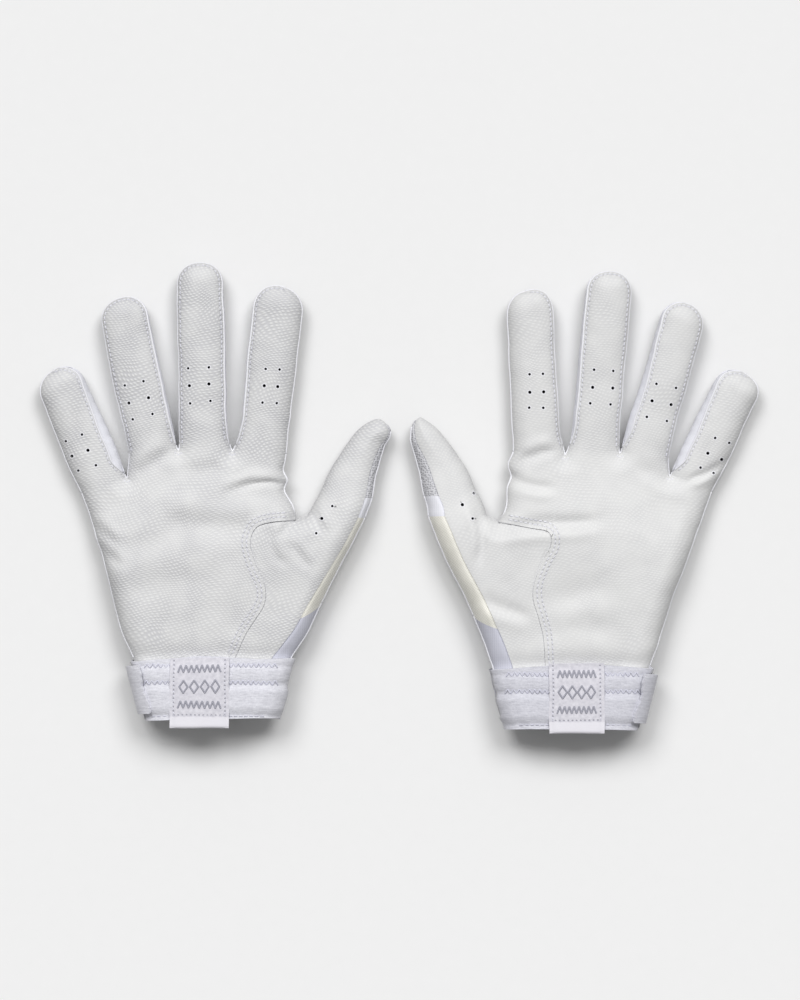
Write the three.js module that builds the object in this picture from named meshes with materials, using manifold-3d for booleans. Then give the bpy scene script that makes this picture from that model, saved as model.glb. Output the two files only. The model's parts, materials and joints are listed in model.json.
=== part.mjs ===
// A pair of adult baseball batting gloves, laid flat with the palms up and the fingers along +Y.
// Millimetres, +Z up. Each glove is a hollow hand sewn from thin panels: a leather palm, a knit back,
// side walls between the fingers, an elastic cuff and a hook-and-loop strap across the back of the wrist.
// Every panel follows one rounded hand surface, so neighbouring panels meet edge to edge at their seams.
import * as THREE from "three";
import { mergeVertices } from "three/addons/utils/BufferGeometryUtils.js";
import Module from "manifold-3d";

const wasm = await Module();
wasm.setup();

// Hand sizes
const palmLength = 100; // wrist line to the slits beside the middle finger
const palmWidth = 100; // across the roots of the four fingers
const wristWidth = 76;
const mouthWidth = 61; // opening at the bottom of the cuff
const palmThickness = 20;
const fingerThickness = 14;
const edgeRadius = 10; // how far in from the outline the glove reaches its full thickness
const thicknessFade = 50; // the palm thins to the fingers over this length
const seamLevelShare = 0.45; // height of the side seams, as a share of the thickness there

// Panels and seams
const leather = 1.2;
const knit = 0.9;
const seamGap = 0.4; // between neighbouring panel edges
const creaseGap = 0.4; // between a finger and the palm, at the fold
const slitWidth = 1; // between the roots of two fingers
const slitDepth = 1;
const wallHeight = 5; // side walls between the fingers

// Cuff, closure and pull tab
const cuffHeight = 29;
const cuffThickness = 2;
const cuffTuck = 6; // the hand's panels reach this far up inside the cuff
const layerGap = 0.4; // between stacked layers
const wristRise = 25; // the back comes down to the table over this length
const slotWidth = 8; // opening in the back of the wrist
const slotLength = 24;
const slotTip = 3;
const slotPlace = 8; // middle of the slot, from the middle of the wrist
const strapHeight = 23;
const strapThickness = 1.5;
const patchThickness = 0.7; // hook patch and loop patch
const patchMargin = 3;
const patchLength = 20;
const patchPlace = -8; // middle of both patches, from the middle of the wrist
const anchorLength = 14;
const cornerRadius = 2;
const tabWidth = 27;
const tabThickness = 0.8;
const tabFold = 4.6; // the tab's loop below the cuff
const tabFoldDepth = 2;

// Fingers: length from the fold to the tip, width at the middle and near the tip
const fingerSizes = {
  little: { length: 60.4, width: 23.2, tipWidth: 21.6 },
  ring: { length: 76.2, width: 23.6, tipWidth: 22 },
  middle: { length: 88.4, width: 22.8, tipWidth: 21 },
  index: { length: 79.6, width: 24.8, tipWidth: 23 },
  thumb: { length: 52.4, width: 24.2, tipWidth: 18.6 },
};
const thumbBow = 0.6; // the thumb's middle line bends this far towards the fingers
const wrapWidth = 8; // the thumb's side panels reach at most this far round onto the back

// Places on each hand, as shares of the palm's width and length from the middle of the wrist.
// x grows towards the thumb. Each finger folds on the line between its two root points.
const postures = {
  right: {
    stretchShare: 1,
    tabShare: -0.058,
    fingers: [
      { name: "little", rootShares: [[-0.626, 0.788], [-0.413, 0.869]], leanDeg: -22.4 },
      { name: "ring", rootShares: [[-0.407, 0.966], [-0.168, 1.005]], leanDeg: -11 },
      { name: "middle", rootShares: [[-0.168, 1.005], [0.096, 1.006]], leanDeg: -1.6 },
      { name: "index", rootShares: [[0.096, 1.006], [0.355, 0.977]], leanDeg: 6.6 },
    ],
    thumb: { name: "thumb", rootShares: [[0.452, 0.683], [0.738, 0.667]], leanDeg: 24.6 },
    webShares: [0.398, 0.66],
    palmSeamShares: [
      [0.11, 0], [0.17, 0.13], [0.245, 0.25], [0.253, 0.34], [0.206, 0.456],
      [0.181, 0.55], [0.21, 0.622], [0.29, 0.65], [0.398, 0.66],
    ],
    sideSeamShares: [0.103, 0.075, 0.053, 0.038, 0.036, 0.033, 0.008],
    sideSplitShares: [0.34, 0.53],
    indexEdgeShares: [[0.345, 0.9], [0.355, 0.8], [0.385, 0.72]],
    outerEdgeShares: [[-0.437, 0.13], [-0.488, 0.32], [-0.537, 0.52]],
    thumbEdgeShares: [[0.468, 0.14], [0.562, 0.34], [0.668, 0.54]],
  },
  left: {
    stretchShare: 0.975,
    tabShare: -0.026,
    fingers: [
      { name: "little", rootShares: [[-0.692, 0.83], [-0.478, 0.922]], leanDeg: -24.8 },
      { name: "ring", rootShares: [[-0.476, 0.981], [-0.238, 1.034]], leanDeg: -15.2 },
      { name: "middle", rootShares: [[-0.238, 1.034], [0.022, 1.042]], leanDeg: -5.8 },
      { name: "index", rootShares: [[0.022, 1.042], [0.281, 1.028]], leanDeg: 2.5 },
    ],
    thumb: { name: "thumb", rootShares: [[0.4, 0.726], [0.692, 0.72]], leanDeg: 21.2 },
    webShares: [0.342, 0.692],
    palmSeamShares: [
      [0.122, 0], [0.136, 0.16], [0.178, 0.31], [0.178, 0.4], [0.137, 0.51],
      [0.098, 0.585], [0.112, 0.645], [0.2, 0.665], [0.342, 0.692],
    ],
    sideSeamShares: [0.1, 0.096, 0.09, 0.086, 0.08, 0.05, 0.008],
    sideSplitShares: [0.3, 0.45],
    indexEdgeShares: [[0.292, 0.95], [0.298, 0.85], [0.312, 0.76]],
    outerEdgeShares: [[-0.425, 0.13], [-0.487, 0.32], [-0.568, 0.54]],
    thumbEdgeShares: [[0.43, 0.14], [0.515, 0.34], [0.6, 0.51]],
  },
};
const gloveGap = 5.9; // between the two thumbs
const wristOffset = 4.3; // the left glove's wrist lies this much nearer the viewer

// Grid lines: across a finger from edge to edge, along it to where the tip starts, and round the tip
const acrossShares = [-1, -0.8, -0.35, 0.35, 0.8, 1];
const alongShares = [0, 0.1, 0.24, 0.42, 0.62, 0.8];
const tipAnglesDeg = [0, 35, 62, 86];
const palmRows = 12; // rows of points from the cuff to the fingers, on every panel of the hand
const seamBendRow = 8; // the wavy seam turns towards the thumb at this row
const wrapShares = [0, 0.2, 0.4, 0.5, 0.6, 0.8, 1];
const cuffShares = [0, 0.35, 0.62, 0.76, 0.86, 0.93, 0.97, 0.99]; // from the middle of the wrist to its side
const strapShares = [0, 0.35, 0.68, 0.76, 0.84, 0.9, 0.94, 0.97, 0.99, 1];
const foldShares = [0, 0.3, 0.65, 1]; // along the thumb's fold
const cuffRowShares = [0, 0.35, 0.7, 1];
const strapRowShares = [0, 0.5, 1];
const leastStepShare = 0.04; // rows closer than this are joined
const taperShare = 0.25; // a finger narrows from its root over this share of its length
const thumbTaperShare = 0.55; // the thumb's outer side narrows more slowly
const tipStartShare = 0.8;
const tipPower = 2.2; // 2 would be a round tip, more is blunter
const wallStartShare = 0.05;
const wallEndShare = 0.86;
const patchStartShare = 0.25; // the thumb's tip patch starts here

// How high the wrist stands, so that the strap under it lies on the table
const stackHeight = strapThickness + 2 * patchThickness + cuffThickness + 4 * layerGap;

const mix = (a, b, t) => a + (b - a) * t;
const clamp = (t) => Math.min(Math.max(t, 0), 1);
const smooth = (t) => clamp(t) ** 2 * (3 - 2 * clamp(t));
const radians = THREE.MathUtils.degToRad;
const at = (x, y) => new THREE.Vector2(x, y);
const between = (a, b, t) => a.clone().lerp(b, t);
const onPalm = ([x, y]) => at(x * palmWidth, y * palmLength);

// The wrist's width at a height inside the cuff
const widthAt = (y) => mix(wristWidth, mouthWidth, clamp(-y / cuffHeight));

// Points spread evenly along a smooth curve through the given ones
function smoothLine(points, count) {
  const curve = new THREE.SplineCurve(points);
  return Array.from({ length: count + 1 }, (_, i) => curve.getPoint(i / count));
}

// A chain of points moved sideways, to its left when the distance is positive
function beside(points, distance) {
  return points.map((point, i) => {
    const last = points.length - 1;
    const run = points[Math.min(i + 1, last)].clone().sub(points[Math.max(i - 1, 0)]).normalize();
    return at(point.x - run.y * distance, point.y + run.x * distance);
  });
}

// One finger in plan. place(along, across) runs from the fold (0) to the tip (1), and from -1 to 1 across.
function makeFinger(spec, stretchShare) {
  const size = fingerSizes[spec.name];
  const [start, end] = spec.rootShares.map(onPalm);
  const root = between(start, end, 0.5);
  const length = size.length * stretchShare;
  const lean = radians(spec.leanDeg);
  const direction = at(Math.sin(lean), Math.cos(lean));
  const square = at(direction.y, -direction.x);
  const foldLine = end.clone().sub(start).normalize();
  const rootHalf = (start.distanceTo(end) - slitWidth) / 2;
  const tipStart = 1 - size.tipWidth / 2 / length;
  const isThumb = spec.name === "thumb";
  const bow = isThumb ? thumbBow : 0;
  const taperAt = (along, across) => smooth(along / (isThumb && across > 0 ? thumbTaperShare : taperShare));
  const halfWidth = (along, across) => {
    const narrowed = clamp((along - taperShare) / (tipStartShare - taperShare));
    const body = mix(size.width, size.tipWidth, narrowed) / 2;
    const tip = clamp((along - tipStart) / (1 - tipStart));
    return mix(rootHalf, body, taperAt(along, across)) * (1 - tip ** tipPower) ** (1 / tipPower);
  };
  const rows = [
    ...alongShares.map((share) => share * tipStart),
    ...tipAnglesDeg.map((angle) => mix(tipStart, 1, Math.sin(radians(angle)))),
  ];
  const place = (along, across) => {
    const middle = root.clone().addScaledVector(direction, along * length);
    middle.addScaledVector(square, -bow * Math.sin(Math.PI * along));
    const sideways = between(foldLine, square, taperAt(along, across)).normalize();
    return middle.addScaledVector(sideways, across * halfWidth(along, across));
  };
  return { ...spec, start, end, root, length, direction, foldLine, rows, place };
}

// The outline of the whole hand in plan, and the rounded surface inside it
function makeHand(posture) {
  const fingers = posture.fingers.map((spec) => makeFinger(spec, posture.stretchShare));
  const thumb = makeFinger(posture.thumb, 1);
  const [little, ring, middle, index] = fingers;
  const edgesOf = (finger) => [
    finger.rows.map((along) => finger.place(along, -1)),
    finger.rows.map((along) => finger.place(along, 1)).reverse(),
  ];
  const slitAt = (finger) => finger.end.clone().addScaledVector(finger.direction, -slitDepth);
  const slits = [little, ring, middle].map(slitAt);
  const wristHalf = wristWidth / 2;
  const mouthHalf = mouthWidth / 2;
  const web = onPalm(posture.webShares);
  const outerEdge = smoothLine(
    [at(-wristHalf, 0), ...posture.outerEdgeShares.map(onPalm), little.place(0, -1)],
    2 * palmRows,
  );
  const indexEdge = smoothLine([index.place(0, 1), ...posture.indexEdgeShares.map(onPalm), web], 4);
  const thumbEdge = smoothLine(
    [at(wristHalf, 0), ...posture.thumbEdgeShares.map(onPalm), thumb.place(0, 1)],
    8,
  );
  const below = (half) => at(half, -cuffHeight);
  const farBelow = (half, wrist) => at(mix(wrist, half, 2), -2 * cuffHeight);
  const outline = [
    farBelow(-mouthHalf, -wristHalf),
    below(-mouthHalf),
    ...outerEdge,
    ...edgesOf(little).flat(),
    slits[0],
    ...edgesOf(ring).flat(),
    slits[1],
    ...edgesOf(middle).flat(),
    slits[2],
    ...edgesOf(index).flat(),
    ...indexEdge.slice(1),
    ...edgesOf(thumb).flat(),
    ...thumbEdge.slice(0, -1).reverse(),
    below(mouthHalf),
    farBelow(mouthHalf, wristHalf),
  ];
  // How far a point is from the outline, and the way inwards there
  const toOutline = (x, y) => {
    const nearest = { distance: Infinity };
    for (let i = 1; i < outline.length; i++) {
      const a = outline[i - 1];
      const b = outline[i];
      const run = b.clone().sub(a);
      const t = clamp(at(x - a.x, y - a.y).dot(run) / Math.max(run.lengthSq(), Number.EPSILON));
      const gap = at(x - a.x - t * run.x, y - a.y - t * run.y);
      const distance = gap.length();
      if (distance >= nearest.distance) continue;
      const inwards = distance > seamGap / 4 ? gap.normalize() : at(run.y, -run.x).normalize();
      Object.assign(nearest, { distance, inwards });
    }
    return nearest;
  };
  const foldAt = (x) => {
    const roots = fingers.map((finger) => finger.root);
    const next = roots.findIndex((root) => root.x > x);
    if (next < 0) return roots.at(-1).y;
    if (next === 0) return roots[0].y;
    const [a, b] = [roots[next - 1], roots[next]];
    return mix(a.y, b.y, (x - a.x) / (b.x - a.x));
  };
  const topAt = (x, y) => mix(fingerThickness, palmThickness, smooth((foldAt(x) - y) / thicknessFade));
  const bottomAt = (y) => mix(stackHeight, 0, smooth(y / wristRise));
  const wallAt = (x, y, side, lift, inwards) => {
    const bottom = bottomAt(y);
    const seam = mix(bottom, topAt(x, y), seamLevelShare);
    const rounding = Math.sqrt(1 - (1 - inwards) ** 2);
    return mix(seam + side * lift, side > 0 ? topAt(x, y) : bottom, rounding);
  };
  // The hand's skin over a plan point: side is 1 on the palm and -1 on the back, lift is half the side wall
  const skinAt = ({ x, y, side, lift = 0 }) => {
    const near = toOutline(x, y);
    const inwards = clamp(near.distance / edgeRadius);
    const height = wallAt(x, y, side, lift, inwards);
    const step = seamGap / 2;
    const rise = (wallAt(x, y, side, lift, clamp(inwards + step / edgeRadius)) - height) / step;
    const fade = (wallAt(x, y + step, side, lift, inwards) - height) / step;
    const upright = near.distance < step;
    const { inwards: way } = near;
    const normal = new THREE.Vector3(-rise * way.x, -rise * way.y - fade, upright ? 0 : 1);
    if (upright) normal.set(-near.inwards.x, -near.inwards.y, 0);
    else normal.multiplyScalar(side);
    return { point: new THREE.Vector3(x, y, height), normal: normal.normalize() };
  };
  return { posture, fingers, thumb, slits, web, outerEdge, indexEdge, thumbEdge, skinAt };
}

// A thin curved panel over one or more grids of plan points that share the points where they meet.
// It reaches from outer to inner, both measured up from the skin.
function sheet(hand, grids, outer, inner) {
  const spots = new Map();
  const numberOf = (spot) => {
    const key = [spot.x, spot.y, spot.side].join();
    if (!spots.has(key)) spots.set(key, { ...spot, number: spots.size });
    return spots.get(key).number;
  };
  const triangles = [];
  for (const grid of grids) {
    const numbers = grid.map((row) => row.map(numberOf));
    for (let r = 0; r + 1 < numbers.length; r++)
      for (let c = 0; c + 1 < numbers[r].length; c++) {
        const [a, b, d, e] = [numbers[r][c], numbers[r][c + 1], numbers[r + 1][c + 1], numbers[r + 1][c]];
        triangles.push([a, b, d], [a, d, e]);
      }
  }
  const skin = [...spots.values()].map((spot) => ({ ...hand.skinAt(spot), shift: spot.shift ?? 0 }));
  const raised = (spot, height) => spot.point.clone().addScaledVector(spot.normal, height + spot.shift);
  const positions = [outer, inner].flatMap((height) => skin.flatMap((spot) => raised(spot, height).toArray()));
  // The rim closes every edge that only one triangle has
  const count = skin.length;
  const edges = triangles.flatMap(([a, b, c]) => [[a, b], [b, c], [c, a]]);
  const known = new Set(edges.map((edge) => edge.join()));
  const faces = triangles.flatMap(([a, b, c]) => [a, b, c, a + count, c + count, b + count]);
  for (const [a, b] of edges)
    if (!known.has([b, a].join())) faces.push(b, a, a + count, b, a + count, b + count);
  const geometry = new THREE.BufferGeometry();
  geometry.setAttribute("position", new THREE.Float32BufferAttribute(positions, 3));
  geometry.setIndex(faces);
  return geometry;
}

// The same grid seen from below, for panels on the back
const turned = (grid) => grid.map((row) => row.map((p) => ({ ...p, side: -1 })).reverse());

// Fills in plan points between four edges
function fill(bottom, top, left, right, columnShares) {
  const rows = left.length;
  return left.map((_, r) => {
    const t = r / (rows - 1);
    return bottom.map((_, c) => {
      const s = columnShares[c];
      const point = left[r].clone().multiplyScalar(1 - s).addScaledVector(right[r], s);
      point.addScaledVector(bottom[c], 1 - t).addScaledVector(top[c], t);
      point.addScaledVector(left[0], -(1 - s) * (1 - t)).addScaledVector(right[0], -s * (1 - t));
      point.addScaledVector(left[rows - 1], -(1 - s) * t).addScaledVector(right[rows - 1], -s * t);
      return { x: point.x, y: point.y, side: 1, lift: seamGap / 2 };
    });
  });
}

// How far along a chain of points each one lies, from 0 to 1
function lengthShares(points) {
  const runs = [0];
  for (let i = 1; i < points.length; i++) runs.push(runs[i - 1] + points[i].distanceTo(points[i - 1]));
  return runs.map((run) => run / runs.at(-1));
}

const resample = (points, count) => {
  const path = new THREE.CurvePath();
  for (let i = 1; i < points.length; i++) path.add(new THREE.LineCurve(points[i - 1], points[i]));
  return Array.from({ length: count }, (_, i) => path.getPointAt(i / (count - 1)));
};

// The same chain with midpoints added to its longest runs, until it has that many points
function withMidpoints(points, count) {
  const chain = [...points];
  while (chain.length < count) {
    const runs = chain.slice(1).map((point, i) => point.distanceTo(chain[i]));
    const longest = runs.indexOf(Math.max(...runs));
    chain.splice(longest + 1, 0, between(chain[longest], chain[longest + 1], 0.5));
  }
  return chain;
}

// A chain of points carried on straight past its start, down inside the cuff
const tucked = (points) => [at((points[0].x / wristWidth) * widthAt(-cuffTuck), -cuffTuck), ...points];

// The edge of the palm below the finger folds, from the little finger to the index finger
function foldEdge(hand) {
  const back = (finger, share) =>
    finger.place(0, mix(-1, 1, share)).addScaledVector(finger.direction, -creaseGap / 2);
  const shares = acrossShares.map((across) => (across + 1) / 2);
  const points = [];
  hand.fingers.forEach((finger, i) => {
    const last = i === hand.fingers.length - 1;
    const first = i === 0 || i === 1 ? [back(finger, 0)] : [];
    points.push(...first, ...shares.slice(1, -1).map((share) => back(finger, share)));
    points.push(last ? back(finger, 1) : hand.slits[i].clone());
  });
  return points;
}

// The wavy seam between the palm and the thumb's leather
function palmSeam(hand) {
  return resample(tucked(smoothLine(hand.posture.palmSeamShares.map(onPalm), 2 * palmRows)), palmRows);
}

// The palm runs up to the finger folds, and along the index finger's root down to the web
function palmGrid(hand) {
  const top = foldEdge(hand);
  const right = [...beside(palmSeam(hand), seamGap / 2), ...indexRoot(hand)];
  return handGrid(hand, top, right);
}

// The free edge below the index finger, from just above the web up to the fold
const indexRoot = (hand) => [...hand.indexEdge.slice(1, -1).reverse(), foldEdge(hand).at(-1)];

// A panel as wide as the hand, between the little-finger side and the edge given
function handGrid(hand, top, right) {
  const left = resample(tucked(hand.outerEdge.slice(0, -1).concat([top[0]])), right.length);
  const shares = lengthShares(top);
  const bottom = shares.map((share) => between(left[0], right[0], share));
  return fill(bottom, top, left, right, shares);
}

// The thumb side's seams: on the palm side and on the back, both inside the outline
function sideSeams(hand) {
  const { thumb, posture } = hand;
  const beyond = thumb.rows.slice(1).map((along) => thumb.place(along, 1));
  const rise = [...resample(tucked(hand.thumbEdge), palmRows), ...beyond];
  const inside = (i) => (i < palmRows ? at(-1, 0) : thumb.foldLine.clone().negate());
  const shares = lengthShares(rise);
  const depth = (i) => {
    const spot = shares[i] * (posture.sideSeamShares.length - 1);
    const k = Math.min(Math.floor(spot), posture.sideSeamShares.length - 2);
    return mix(posture.sideSeamShares[k], posture.sideSeamShares[k + 1], spot - k) * palmWidth;
  };
  const front = rise.map((p, i) => p.clone().addScaledVector(inside(i), depth(i)));
  const rear = rise.map((p, i) => p.clone().addScaledVector(inside(i), Math.min(depth(i), wrapWidth)));
  return { rise, front, rear, foldRow: palmRows - 1 };
}

// The edge below the thumb's fold, from the web side to the end given
function thumbFold(hand, end) {
  const start = at(hand.thumb.start.x, hand.thumb.start.y - creaseGap / 2);
  return foldShares.map((share) => between(start, end, share));
}

// The leather at the root of the thumb, from the wavy palm seam to the side seam
function thumbBaseGrid(hand, seams) {
  const edge = beside(palmSeam(hand), -seamGap / 2);
  const left = withMidpoints(edge.slice(0, seamBendRow + 1), palmRows);
  const right = beside(seams.front.slice(0, palmRows), seamGap / 2);
  right[right.length - 1].y -= creaseGap / 2;
  const top = [...edge.slice(seamBendRow), ...thumbFold(hand, right.at(-1))];
  const shares = lengthShares(top);
  const bottom = shares.map((share) => between(left[0], right[0], share));
  return fill(bottom, top, left, right, shares);
}

// The back of the hand, one panel out to the seam that runs up the thumb side. It takes two grids, which
// meet on a line from the wrist to the web.
function backGrids(hand, seams) {
  const start = tucked([at(0, 0)])[0];
  const middle = resample([start, hand.web], palmRows);
  const right = beside(seams.rear.slice(0, palmRows), seamGap / 2);
  right[right.length - 1].y -= creaseGap / 2;
  const top = [hand.web, ...thumbFold(hand, right.at(-1))];
  const shares = lengthShares(top);
  const bottom = shares.map((share) => between(middle[0], right[0], share));
  const palmSide = handGrid(hand, foldEdge(hand), [...middle, ...indexRoot(hand)]);
  return [palmSide, fill(bottom, top, middle, right, shares)];
}

// Half the height of the side wall along one edge of a finger; 0 edges meet their neighbour directly
function wallLift(along, walled) {
  if (!walled) return seamGap / 2;
  const start = smooth(along / (2 * wallStartShare + taperShare / 2));
  const end = smooth((1 - along) / (1 - wallEndShare + taperShare / 4));
  return seamGap / 2 + (wallHeight / 2) * start * end;
}

function fingerGrid(finger, walls, columns = acrossShares) {
  const start = creaseGap / 2 / finger.length;
  return finger.rows.map((along) =>
    columns.map((across) => {
      const { x, y } = finger.place(Math.max(along, start), across);
      return { x, y, side: 1, lift: wallLift(along, across < 0 ? walls[0] : walls[1]) };
    }),
  );
}

// A finger's side wall: an upright strip between the palm-side leather and the back
function fingerWall(hand, finger, edge) {
  const rows = finger.rows.filter((along) => wallLift(along, true) > 2 * seamGap);
  const positions = [];
  for (const inside of [0, knit])
    for (const along of rows) {
      const outward = finger.place(along, edge);
      const inward = finger.place(along, 0).sub(outward).normalize();
      const spot = outward.clone().addScaledVector(inward, inside);
      const half = wallLift(along, true) - seamGap;
      const bottom = hand.skinAt({ ...outward, side: -1 }).point.z;
      for (const side of [-1, 1]) positions.push(spot.x, spot.y, bottom + side * half);
    }
  return ribbon(positions, rows.length, edge < 0);
}

// A closed strip with four corners at each of its stations
function ribbon(positions, stations, flipped) {
  const id = (layer, row, side) => (layer * stations + row) * 2 + side;
  const faces = [];
  const quad = (a, b, c, d) => (flipped ? faces.push(a, b, c, a, c, d) : faces.push(c, b, a, d, c, a));
  for (let row = 0; row + 1 < stations; row++) {
    quad(id(0, row, 0), id(0, row, 1), id(0, row + 1, 1), id(0, row + 1, 0));
    quad(id(1, row, 0), id(1, row + 1, 0), id(1, row + 1, 1), id(1, row, 1));
    quad(id(0, row, 1), id(1, row, 1), id(1, row + 1, 1), id(0, row + 1, 1));
    quad(id(0, row, 0), id(0, row + 1, 0), id(1, row + 1, 0), id(1, row, 0));
  }
  const last = stations - 1;
  quad(id(0, 0, 0), id(1, 0, 0), id(1, 0, 1), id(0, 0, 1));
  quad(id(0, last, 0), id(0, last, 1), id(1, last, 1), id(1, last, 0));
  const geometry = new THREE.BufferGeometry();
  geometry.setAttribute("position", new THREE.Float32BufferAttribute(positions, 3));
  geometry.setIndex(faces);
  return geometry;
}

// A panel that wraps round the thumb side, from the front seam over the outline to the back seam.
// first and last give the row where it starts and ends, at the front seam and at the back seam.
function wrapGrid(seams, first, last) {
  const along = (points, row) => {
    const k = Math.min(Math.floor(row), points.length - 2);
    return between(points[k], points[k + 1], row - k);
  };
  // It has a row wherever its neighbours on either side have one
  const steps = [0, 1];
  first.forEach((start, side) => {
    for (let row = Math.ceil(start); row < last[side]; row++) {
      const share = (row - start) / (last[side] - start);
      if (steps.every((step) => Math.abs(step - share) > leastStepShare)) steps.push(share);
    }
  });
  steps.sort((a, b) => a - b);
  return steps.map((step) =>
    wrapShares.map((share) => {
      const row = mix(mix(first[0], first[1], share), mix(last[0], last[1], share), step);
      const onEdge = along(seams.rise, row);
      const topSide = share < 0.5;
      const seam = along(topSide ? seams.front : seams.rear, row);
      const reach = Math.abs(share - 0.5) * 2;
      const trim = seamGap / Math.max(2 * seam.distanceTo(onEdge), seamGap);
      const { x, y } = between(onEdge, seam, reach * (1 - trim));
      return { x, y, side: topSide ? 1 : -1, lift: 0 };
    }),
  );
}

// The elastic cuff, in one band from one side of the wrist slot round to the other
function cuffGrid() {
  const rows = cuffRowShares.map((share) => -share * cuffHeight);
  return rows.reverse().map((y) => {
    const half = widthAt(y) / 2;
    const slotLeft = slotPlace - slotWidth / 2;
    const slotRight = slotPlace + slotWidth / 2;
    const under = (from, to) => cuffShares.map((share) => ({ x: mix(from, to, share), y, side: -1 }));
    const over = (end) => cuffShares.map((share) => ({ x: share * end, y, side: 1 }));
    return [
      ...under(slotLeft, -half),
      { x: -half, y, side: -1 },
      ...over(-half).reverse(),
      ...over(half).slice(1),
      { x: half, y, side: -1 },
      ...under(slotRight, half).reverse(),
    ];
  });
}

// The closure strap's skin: flat under the wrist, turned up round the little-finger side
function strapGrid() {
  const foot = -(cuffHeight + strapHeight) / 2;
  const stack = stackHeight - strapThickness;
  const snug = cuffThickness + 3 * layerGap;
  return strapRowShares.map((share) => {
    const y = foot + share * strapHeight;
    const bend = strapShares[2];
    return strapShares.map((reach) => {
      const x = mix(slotPlace + slotWidth / 2 + seamGap, -widthAt(y) / 2, reach);
      return { x, y, side: -1, shift: mix(stack, snug, smooth((reach - bend) / (1 - bend))) };
    });
  });
}

function roundedPlate(x, y, width, height, bottom, thickness) {
  const shape = new THREE.Shape();
  const [left, right, low, high] = [x - width / 2, x + width / 2, y - height / 2, y + height / 2];
  const corner = (cx, cy, start) => shape.absarc(cx, cy, cornerRadius, start, start + Math.PI / 2);
  corner(right - cornerRadius, high - cornerRadius, 0);
  corner(left + cornerRadius, high - cornerRadius, Math.PI / 2);
  corner(left + cornerRadius, low + cornerRadius, Math.PI);
  corner(right - cornerRadius, low + cornerRadius, -Math.PI / 2);
  const plate = new THREE.ExtrudeGeometry(shape, { depth: thickness, bevelEnabled: false, curveSegments: 3 });
  return plate.translate(0, 0, bottom);
}

// The pull tab: a label on the cuff whose lower end folds under into a short loop
function tabGeometry(centre) {
  const top = palmThickness + cuffThickness + 2 * layerGap + tabThickness;
  const low = -cuffHeight - tabFold;
  const foot = top - tabThickness - tabFoldDepth;
  const hem = -cuffHeight - 2 * layerGap;
  const profile = [
    [0, top - tabThickness], [0, top], [low + tabThickness / 2, top], [low, top - tabThickness / 2],
    [low, foot + tabThickness / 2], [low + tabThickness / 2, foot], [hem, foot], [hem, foot + tabThickness],
    [low + tabThickness, foot + tabThickness], [low + tabThickness, top - tabThickness],
  ];
  const shape = new THREE.Shape(profile.map(([y, z]) => at(y, z)));
  const geometry = new THREE.ExtrudeGeometry(shape, { depth: tabWidth, bevelEnabled: false });
  // The profile's first axis is turned onto Y and its second onto Z
  const turn = new THREE.Matrix4().set(0, 0, 1, 0, 1, 0, 0, 0, 0, 1, 0, 0, 0, 0, 0, 1);
  return geometry.applyMatrix4(turn).translate(centre - tabWidth / 2, 0, 0);
}

function toSolid(geometry) {
  const plain = geometry.clone();
  plain.deleteAttribute("normal");
  plain.deleteAttribute("uv");
  const merged = mergeVertices(plain);
  const triVerts = new Uint32Array(merged.index.array);
  const vertProperties = merged.attributes.position.array;
  return new wasm.Manifold(new wasm.Mesh({ numProp: 3, vertProperties, triVerts }));
}

function toGeometry(solid) {
  const mesh = solid.getMesh();
  const geometry = new THREE.BufferGeometry();
  geometry.setAttribute("position", new THREE.BufferAttribute(mesh.vertProperties, 3));
  geometry.setIndex(new THREE.BufferAttribute(mesh.triVerts, 1));
  return geometry;
}

// The opening in the back of the wrist, wider at the cuff and round at its top
function slotCutter() {
  const shape = new THREE.Shape();
  shape.moveTo(slotPlace - slotWidth / 2, -2 * cuffTuck);
  shape.lineTo(slotPlace + slotWidth / 2, -2 * cuffTuck);
  shape.lineTo(slotPlace + slotTip / 2, slotLength);
  shape.absarc(slotPlace, slotLength, slotTip / 2, 0, Math.PI);
  shape.closePath();
  const depth = palmThickness * seamLevelShare;
  const cutter = new THREE.ExtrudeGeometry(shape, { depth: 2 * depth, bevelEnabled: false, curveSegments: 4 });
  return cutter.translate(0, 0, -depth);
}

const finishes = {
  palmLeather: { color: 0xdfe1e0, roughness: 0.62, metalness: 0 },
  patchLeather: { color: 0xcfd0d2, roughness: 0.7, metalness: 0 },
  knit: { color: 0xeeeff4, roughness: 0.85, metalness: 0 },
  mesh: { color: 0xe6e5d9, roughness: 0.8, metalness: 0 },
  elastic: { color: 0xf0f1f6, roughness: 0.8, metalness: 0 },
  label: { color: 0xe9e9ee, roughness: 0.6, metalness: 0 },
  hookAndLoop: { color: 0xe4e5e9, roughness: 0.95, metalness: 0 },
};

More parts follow.
